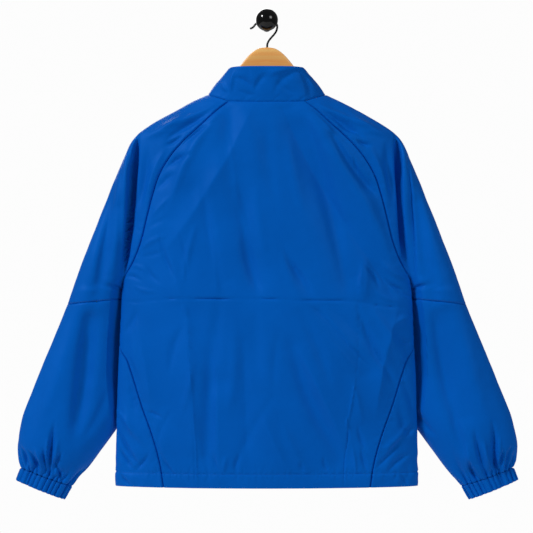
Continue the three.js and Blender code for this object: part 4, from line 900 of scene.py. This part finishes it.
def upper_grid(side):
    k, way = round_the_arm(161)
    behind = way < 0

    def open_rows(row):
        at = {name: f(row)[:, None] for name, f in raglan.items()}
        openness = 1 - 0.3 * np.clip(row - 10, 0, 1)[:, None]
        ridge = (at["ridge_x"], at["ridge_z"])
        back_half = over_shoulder((at["back_x"] + SEAM, at["back_z"]), ridge, -1, openness, side, k)
        front_half = over_shoulder((at["front_x"] + SEAM, at["front_z"]), ridge, 1, openness, side, k)
        return np.where(behind[..., None], back_half, front_half)

    tip_z, one = np.array([[RAGLAN_TIP["back_z"]]]), np.array([[1.0]])
    ridge = (RAGLAN_TIP["ridge"][0] * one, RAGLAN_TIP["ridge"][1] * one)
    tip_back = over_shoulder((body_half(tip_z) + 3 * SEAM, tip_z), ridge, -1, 0.35, side, k)
    tip_back[..., 1] += 1.5 * np.clip((0.2 - k) / 0.1, 0, 1)
    tip_front_x = (RAGLAN_TIP["front"][0] + 2 * SEAM) * one
    tip_front = over_shoulder((tip_front_x, RAGLAN_TIP["front"][1] * one), ridge, 1, 0.35, side, k)
    tip = np.where(behind[..., None], tip_back, tip_front)
    rows = open_rows(np.linspace(0, 11, 133))
    before = open_rows(np.array([10.5]))
    rings = ring([f(np.array([[0.0], [0.5], [1.002]])) for f in sleeve_columns], way, side, k)
    lower = joined(np.concatenate([before, rows[-1:], tip, rings]), 7, k)
    return np.concatenate([rows, lower]), behind, k


def sleeve_lift(grid, behind, k, side):
    """The creases, which die out at the outer edge where back and front meet, and a little unevenness."""
    x, z = grid[..., 0], grid[..., 2]
    lift = np.where(behind, sum(crease(x, z, *row) for row in SLEEVE_CREASES), 0)
    lift += np.where(behind, 0, sum(crease(x, z, *row) for row in FORWARD_CREASES))
    lift *= np.sin(np.clip((1 - k) / 0.32, 0, 1) * np.pi / 2) ** 2
    return lift + 0.3 * crinkle(x + 1.3 * grid[..., 1], z, 40 + side, 60) + 0.08 * crinkle(x, z, 42, 22)


def at_edge(k):
    """A share that is low at the two folds of a flat tube, where a groove would notch the outline."""
    return 0.25 + 0.75 * np.clip(np.minimum(k, 1 - k) / 0.1, 0, 1)


def against_body(grid, behind, lift):
    """Where the inner half of a sleeve passes behind the body's edge it may only move away from the body."""
    x, z = np.abs(grid[..., 0]), grid[..., 2]
    near = behind & (z < -470) & (x < body_half(z) + 8)
    return np.where(near, np.minimum(lift, 0.3), lift)


for side, side_name in ((1, "right"), (-1, "left")):
    grid, behind, k = upper_grid(side)
    behind = np.broadcast_to(behind, grid.shape[:2])
    grid = on_side(grid, side)
    if side < 0:
        behind, k = behind[:, ::-1], k[:, ::-1]
    x, y, z = grid[..., 0], grid[..., 1], grid[..., 2]
    left, right, above, below = from_edges(grid)
    seam_distance = np.minimum(left, right)
    open_part = np.clip((z + 470) / 20, 0, 1)
    lift = sleeve_lift(grid, behind, k, side) * np.clip(seam_distance / 14, 0, 1) * np.clip(above / 14, 0, 1)
    lift *= np.sin(np.clip(below / 45, 0, 1) * np.pi / 2) ** 2
    lift += calm_roll(seam_distance, above, z) * open_part + seam_roll(above, 0.8)
    lift += seam_roll(below, 1.5) * at_edge(k)
    lift += puckers(above, seam_distance, 8, 11, 1.0, 50 + side) * open_part * np.clip((1 - k) / 0.25, 0, 1)
    lift += puckers(left, below, 15, 8, 0.6, 54 + side)
    lift = against_body(grid, behind, lift)
    upper, upper_cloth = cloth_shell("upper_sleeve_" + side_name, grid, lift)
    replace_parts(upper, "sleeve_upper_" + side_name)
    stitch_row("elbow_stitches_" + side_name, upper_cloth, len(grid) - 2, drop=-0.6)

# The lower sleeves: wider than the wrist, so that the elastic draws them in. A gather is a groove that runs up from
# the cuff and dies out; long and short ones alternate without order, and the casing has the same grooves.
GATHERS = 24
LOWER_COLUMNS = 241
# The longest gathers behind, on the right sleeve and on the left, as if both were at +X
WRIST_CREASES = {
    1: [
        (372, -736, 394, -818, 3, 5, -2.6, 0.2), (404, -722, 410, -806, -2, 5, -3.0, 0.2), (440, -764, 430, -806, 2, 4, -2.2, 0.2),
        (424, -770, 420, -806, 1, 3.5, -2.2, 0.2), (362, -786, 374, -824, 3, 4, -2.0, 0.2), (388, -752, 402, -806, 2, 4, 1.6, 0),
        (417, -748, 415, -800, 1, 4, 1.4, 0), (356, -760, 372, -806, 3, 6, 1.2, 0),
    ],
    -1: [
        (380, -726, 390, -822, -2, 5, -3.4, 0.2), (441, -766, 433, -804, 2, 4, -2.2, 0.2), (426, -772, 409, -812, 3, 4, -2.6, 0.2),
        (400, -768, 397, -816, 1, 3.5, -2.4, 0.2), (368, -774, 382, -818, -3, 4, -2.2, 0.2), (379, -792, 368, -828, 2, 3.5, -2.0, 0.2),
        (391, -748, 396, -800, 1, 3.5, 1.6, 0), (414, -766, 404, -800, 2, 4, 1.4, 0), (372, -750, 380, -800, -1, 4, 1.2, 0),
    ],
}


def gathers(side):
    """The place round the arm, depth, reach, slope and width of each gather, uneven and by chance."""
    chance = np.random.default_rng(60 + side)
    place = (np.arange(GATHERS) + chance.uniform(0.2, 0.8, GATHERS)) / GATHERS
    reach = chance.choice([12, 18, 26, 44, 70], GATHERS, p=[0.2, 0.3, 0.25, 0.15, 0.1])
    return place, chance.uniform(0.5, 1, GATHERS), reach, chance.uniform(-0.3, 0.3, GATHERS), chance.uniform(1.3, 2.4, GATHERS)


def gathered(around, length, away, side, depth):
    """Grooves square to the cuff seam: around is the distance round the arm and away the distance from the seam."""
    depth = 5.0 + (depth - 5.0) * (1 - np.exp(-away / 7))
    total = np.zeros(around.shape)
    for place, deep, reach, slope, width in zip(*gathers(side)):
        across = np.abs(around - place * length - slope * away) / (width * (1 + away / 14))
        total -= depth * deep * np.exp(-(across**1.4)) * np.exp(-((away / reach) ** 2))
    return total


for side, side_name in ((1, "right"), (-1, "left")):
    k, way = round_the_arm(LOWER_COLUMNS)
    row = np.concatenate([np.linspace(0.998, 6, 90)[:-1], np.linspace(6, 8.002, 60)])[:, None]
    swell = 2.0 * np.clip((row - 6) / 2, 0, 1) ** 1.5 * np.sin(k * np.pi) ** 0.5
    grid = on_side(ring([f(row) for f in sleeve_columns], way, side, k, swell), side)
    behind = np.broadcast_to(way < 0, grid.shape[:2])
    if side < 0:
        behind, k = behind[:, ::-1], k[:, ::-1]
    grid = grid[:-1] if len(grid) % 2 == 0 else grid
    behind = behind[: len(grid)]
    left, right, above, below = from_edges(grid)
    length = left[:, -1:]
    lift = sleeve_lift(grid, behind, k, side) * np.sin(np.clip(above / 45, 0, 1) * np.pi / 2) ** 2 * np.clip(below / 30, 0, 1)
    lift *= np.clip(k / 0.08, 0, 1)
    wrist = sum(crease(side * grid[..., 0], grid[..., 2], *row) for row in WRIST_CREASES[side])
    lift += np.where(behind, wrist, 0) * np.clip(below / 5, 0, 1) * np.clip((1 - k) / 0.08, 0, 1)
    lift += seam_roll(above, 1.5) * at_edge(k) + seam_roll(below, 0.8)
    hollow = 6 * np.exp(-(((k - 0.4) / 0.13) ** 2)) * np.clip(above / 70, 0, 1) * np.clip((grid[..., 2] + 720) / 80, 0, 1)
    lift -= np.where(behind, hollow, 0)
    lift += gathered(left * (224 / length), 224, below, side, 9.0)
    lift += puckers(left, above, 15, 9, 0.6, 64 + side)
    lift = against_body(grid, behind, lift)
    lower, lower_cloth = cloth_shell("lower_sleeve_" + side_name, grid, lift)
    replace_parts(lower, "sleeve_lower_" + side_name)

    # The cuff: a casing with elastic inside, with the same grooves from the seam to the wrist
    down = np.linspace(-0.05, 1, 37)[:, None]
    at_end = [f(np.array([[8.0]])) for f in sleeve_columns]
    sizes = [a + (b - a) * down for a, b in zip(at_end, CUFF_END)]
    sizes[-1] = np.zeros_like(down)
    grid = on_side(ring(sizes, way, side, k), side)
    left, right, above, below = from_edges(grid)
    length = left[:, -1:]
    lift = 0.6 * np.clip(above / 4, 0, 1) + gathered(left * (224 / length), 224, above * 0.02, side, 5.0)
    lift += seam_roll(above, 1.6, 2.2) - 0.8 * np.exp(-((below / 1.8) ** 2))
    lift += 0.12 * crinkle(left, above, 68 + side, 9)
    casing, casing_cloth = cloth_shell("elastic_cuff_" + side_name, grid, lift)
    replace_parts(casing, "cuff_" + side_name)
    stitch_row("cuff_stitches_" + side_name, casing_cloth, 5)

# The collar: one stand-up band of doubled cloth, sewn to the neck edge of all the other pieces and open at the zip.
COLLAR_TOP = {"half": 68.5, "back": 46, "back_z": -84.5, "side_z": -88, "front_z": -128, "power": 2 / 3}
COLLAR_SWELL = 2.5
COLLAR_WALL = 2.4
COLLAR_CREASES = [
    (-57, -104, -26, -124, -4, 5, -1.8, 0.2), (8, -96, -22, -128, 5, 6, -2.0, 0.1), (62, -92, 14, -128, 8, 7, -2.0, 0.1),
    (40, -90, -8, -106, 4, 6, 1.4, 0), (-58, -92, -64, -128, 2, 4, 2.0, 0.1), (-80, -110, -70, -128, 2, 4, 1.4, 0.2),
    (60, -92, 78, -134, -3, 5, -1.8, 0.2), (74, -104, 92, -126, 2, 4, 1.2, 0.2), (-30, -94, -6, -118, 3, 7, 1.2, 0),
    (20, -112, 50, -132, 3, 5, -1.2, 0.2), (-50, -128, -20, -136, 2, 4, -1.0, 0.2),
]


def neck_edge(c, side):
    """The foot of the collar from the centre back (c = 0) over the sleeve (6 to 16) to the zip (c = 21)."""
    at = {name: float(f(np.array(0.0))) for name, f in raglan.items()}
    x_back = at["back_x"] * np.clip(c / 6, 0, 1)
    z_back = at["back_z"] - NECK_SAG["back"] * (1 - (x_back / at["back_x"]) ** 2)
    up = np.sin(np.clip((c - 6) / 5, 0, 1) * np.pi / 2)
    over = np.sin(np.clip(1 - (c - 11) / 5, 0, 1) * np.pi / 2)
    start = body_angle(at["front_x"], at["front_z"])
    end = body_angle(ZIP_HALF, at["front_z"] - NECK_SAG["front"])
    angle = start + (end - start) * np.clip((c - 16) / 5, 0, 1)
    z_front = at["front_z"] - NECK_SAG["front"] * (1 - (np.sin(angle) / np.sin(start)) ** 2)
    x_front = body_half(z_front) * np.sin(angle)
    part = [c <= 6, c <= 11, c <= 16]
    x = np.select(part, [
        x_back, at["back_x"] + (at["ridge_x"] - at["back_x"]) * up,
        at["front_x"] + (at["ridge_x"] - at["front_x"]) * over,
    ], x_front)
    z = np.select(part, [
        z_back, at["back_z"] + (at["ridge_z"] - at["back_z"]) * up,
        at["front_z"] + (at["ridge_z"] - at["front_z"]) * over,
    ], z_front)
    way = np.where(c <= 11, -1, 1)
    near_ridge = np.clip(np.abs(c - 11) / 0.6, 0, 1)
    y = HANGER_Y + (cloth_y(side * x, z, way) - HANGER_Y) * near_ridge
    return np.stack([x, y, z - 0.3], axis=-1)


def collar_half(side):
    c = np.linspace(0, 21, 169)
    foot = neck_edge(c, side)
    angle = c / 21 * np.pi
    s, cosine = np.sin(angle), np.cos(angle)
    front_depth = foot[-1, 1] - HANGER_Y
    depth = np.where(cosine > 0, -COLLAR_TOP["back"], front_depth)
    back_z = COLLAR_TOP["side_z"] + (COLLAR_TOP["back_z"] - COLLAR_TOP["side_z"]) * np.clip(2.5 * cosine, 0, 1)
    turn = (1 - np.cos(-cosine * np.pi)) / 2
    front_z = COLLAR_TOP["side_z"] + (COLLAR_TOP["front_z"] - COLLAR_TOP["side_z"]) * turn
    x = COLLAR_TOP["half"] * np.abs(s) ** COLLAR_TOP["power"]
    x[-1] = ZIP_HALF
    y = HANGER_Y + depth * np.abs(cosine) ** COLLAR_TOP["power"]
    top = np.stack([x, y, np.where(cosine > 0, back_z, front_z)], axis=1)
    share = np.linspace(0, 1, 45)[:, None, None]
    grid = top + (foot - top) * share
    grid[..., 0] += COLLAR_SWELL * np.abs(s) * np.sin(share[..., 0] * np.pi)
    return grid


left_half = on_side(collar_half(-1), -1)
collar_grid = np.concatenate([left_half[:, :-1], collar_half(1)], axis=1)
x, y, z = collar_grid[..., 0], collar_grid[..., 1], collar_grid[..., 2]
left, right, above, below = from_edges(collar_grid)
lift = 0.7 * np.where(y < HANGER_Y, sum(crease(x, z, *row) for row in COLLAR_CREASES), 0)
lift *= 0.75 * np.clip(above / 8, 0, 1) * np.clip(below / 8, 0, 1)
lift += 0.3 * crinkle(x + 3 * y, z, 80, 40) * np.clip(below / 8, 0, 1) + 0.08 * crinkle(x, z, 81, 15)
lift += puckers(left, below, 14, 9, 0.9, 82) + puckers(left, above, 20, 6, 0.3, 83)
lift += seam_roll(below, 0.8) - 0.9 * np.exp(-((above / 1.3) ** 2))
lift += seam_roll(left, 0.6) + seam_roll(right, 0.6)
band, band_cloth = cloth_shell("collar_band", collar_grid, lift, wall=COLLAR_WALL)
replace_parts(band, "collar")

# The zip: a woven tape behind the front edges, with two rows of moulded teeth that mesh between them, and its
# slider at the collar, from which the pull hangs.
ZIP = {"tape_half": 16.0, "tape_thick": 0.8, "tape_depth": 2.8, "tooth_pitch": 2.6, "top": -130.5}
TOOTH = {"width": 2.6, "tall": 1.5, "deep": 2.9}


def zip_face(z):
    """The front of the cloth at the centre line, level above the neck."""
    return HANGER_Y + body_height(np.zeros_like(z), np.minimum(z, -192.0), np.ones_like(z))


tape_z = np.linspace(HEM_Z + 1, ZIP["top"], 241)[::-1]
tape_x = np.linspace(-ZIP["tape_half"], ZIP["tape_half"], 33)
tape_y = zip_face(tape_z)[:, None] - ZIP["tape_depth"] + 0.12 * np.sin(tape_x * 6)[None, :]
tape_shape = np.broadcast_to(tape_y, (241, 33))
tape_grid = np.stack([
    np.broadcast_to(tape_x[::-1][None, :], tape_shape.shape), tape_shape[:, ::-1],
    np.broadcast_to(tape_z[:, None], tape_shape.shape),
], axis=2)
tape_cloth = solid_material("zip_tape_weave", (0.004, 0.07, 0.34), 0.75)
tape, _ = cloth_shell(
    "zip_tape_weave", tape_grid, np.zeros(tape_shape.shape), tape_cloth, wall=ZIP["tape_thick"]
)
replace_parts(tape, "zip_tape")

tooth_z = np.arange(HEM_Z + 3, ZIP["top"] - 2, ZIP["tooth_pitch"])
tooth_corner = np.array([
    (x, y, z) for y, shrink in ((-1, 1), (0.4, 1), (1, 0.7)) for x, z in (
        (-1, -0.6), (-0.5, -1), (0.5, -0.8), (1, -0.45), (1, 0.45), (0.5, 0.8), (-0.5, 1), (-1, 0.6),
    ) for x, z in ((x * shrink, z * shrink),)
])
tooth_faces = [[0, 1, 2, 3, 4, 5, 6, 7], [23, 22, 21, 20, 19, 18, 17, 16]]
for level in (0, 8):
    tooth_faces += [[level + k, level + 8 + k, level + 8 + (k + 1) % 8, level + (k + 1) % 8] for k in range(8)]
half = np.array([TOOTH["width"] / 2, TOOTH["deep"] / 2, TOOTH["tall"] / 2])
teeth_points, teeth_faces = [], []
for number, at in enumerate(np.concatenate([tooth_z, tooth_z + ZIP["tooth_pitch"] / 2])):
    hand = 1 if number < len(tooth_z) else -1
    middle = np.array([1.05 * hand, float(zip_face(np.array(at))) - 1.05, at])
    if abs(at + 137) < 6.5:
        continue
    teeth_faces += [[len(teeth_points) * 24 + v for v in f][:: -hand] for f in tooth_faces]
    teeth_points.append(middle + tooth_corner * half * [-hand, 1, 1])
moulded = solid_material("moulded_teeth", (0.006, 0.085, 0.38), 0.35)
teeth = mesh_piece("zip_teeth", np.vstack(teeth_points), teeth_faces, moulded, sharp=35)

enamelled = solid_material("enamelled_zinc", (0.006, 0.08, 0.36), 0.3, Metallic=0.35)
for node in ("zip_slider", "zip_bridge", "zip_pull"):
    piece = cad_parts[node]
    piece.data.materials.clear()
    piece.data.materials.append(enamelled)
    eased = piece.modifiers.new("eased edges", "BEVEL")
    eased.width = 0.25 * MM
    eased.segments = 2
    eased.limit_method = "ANGLE"
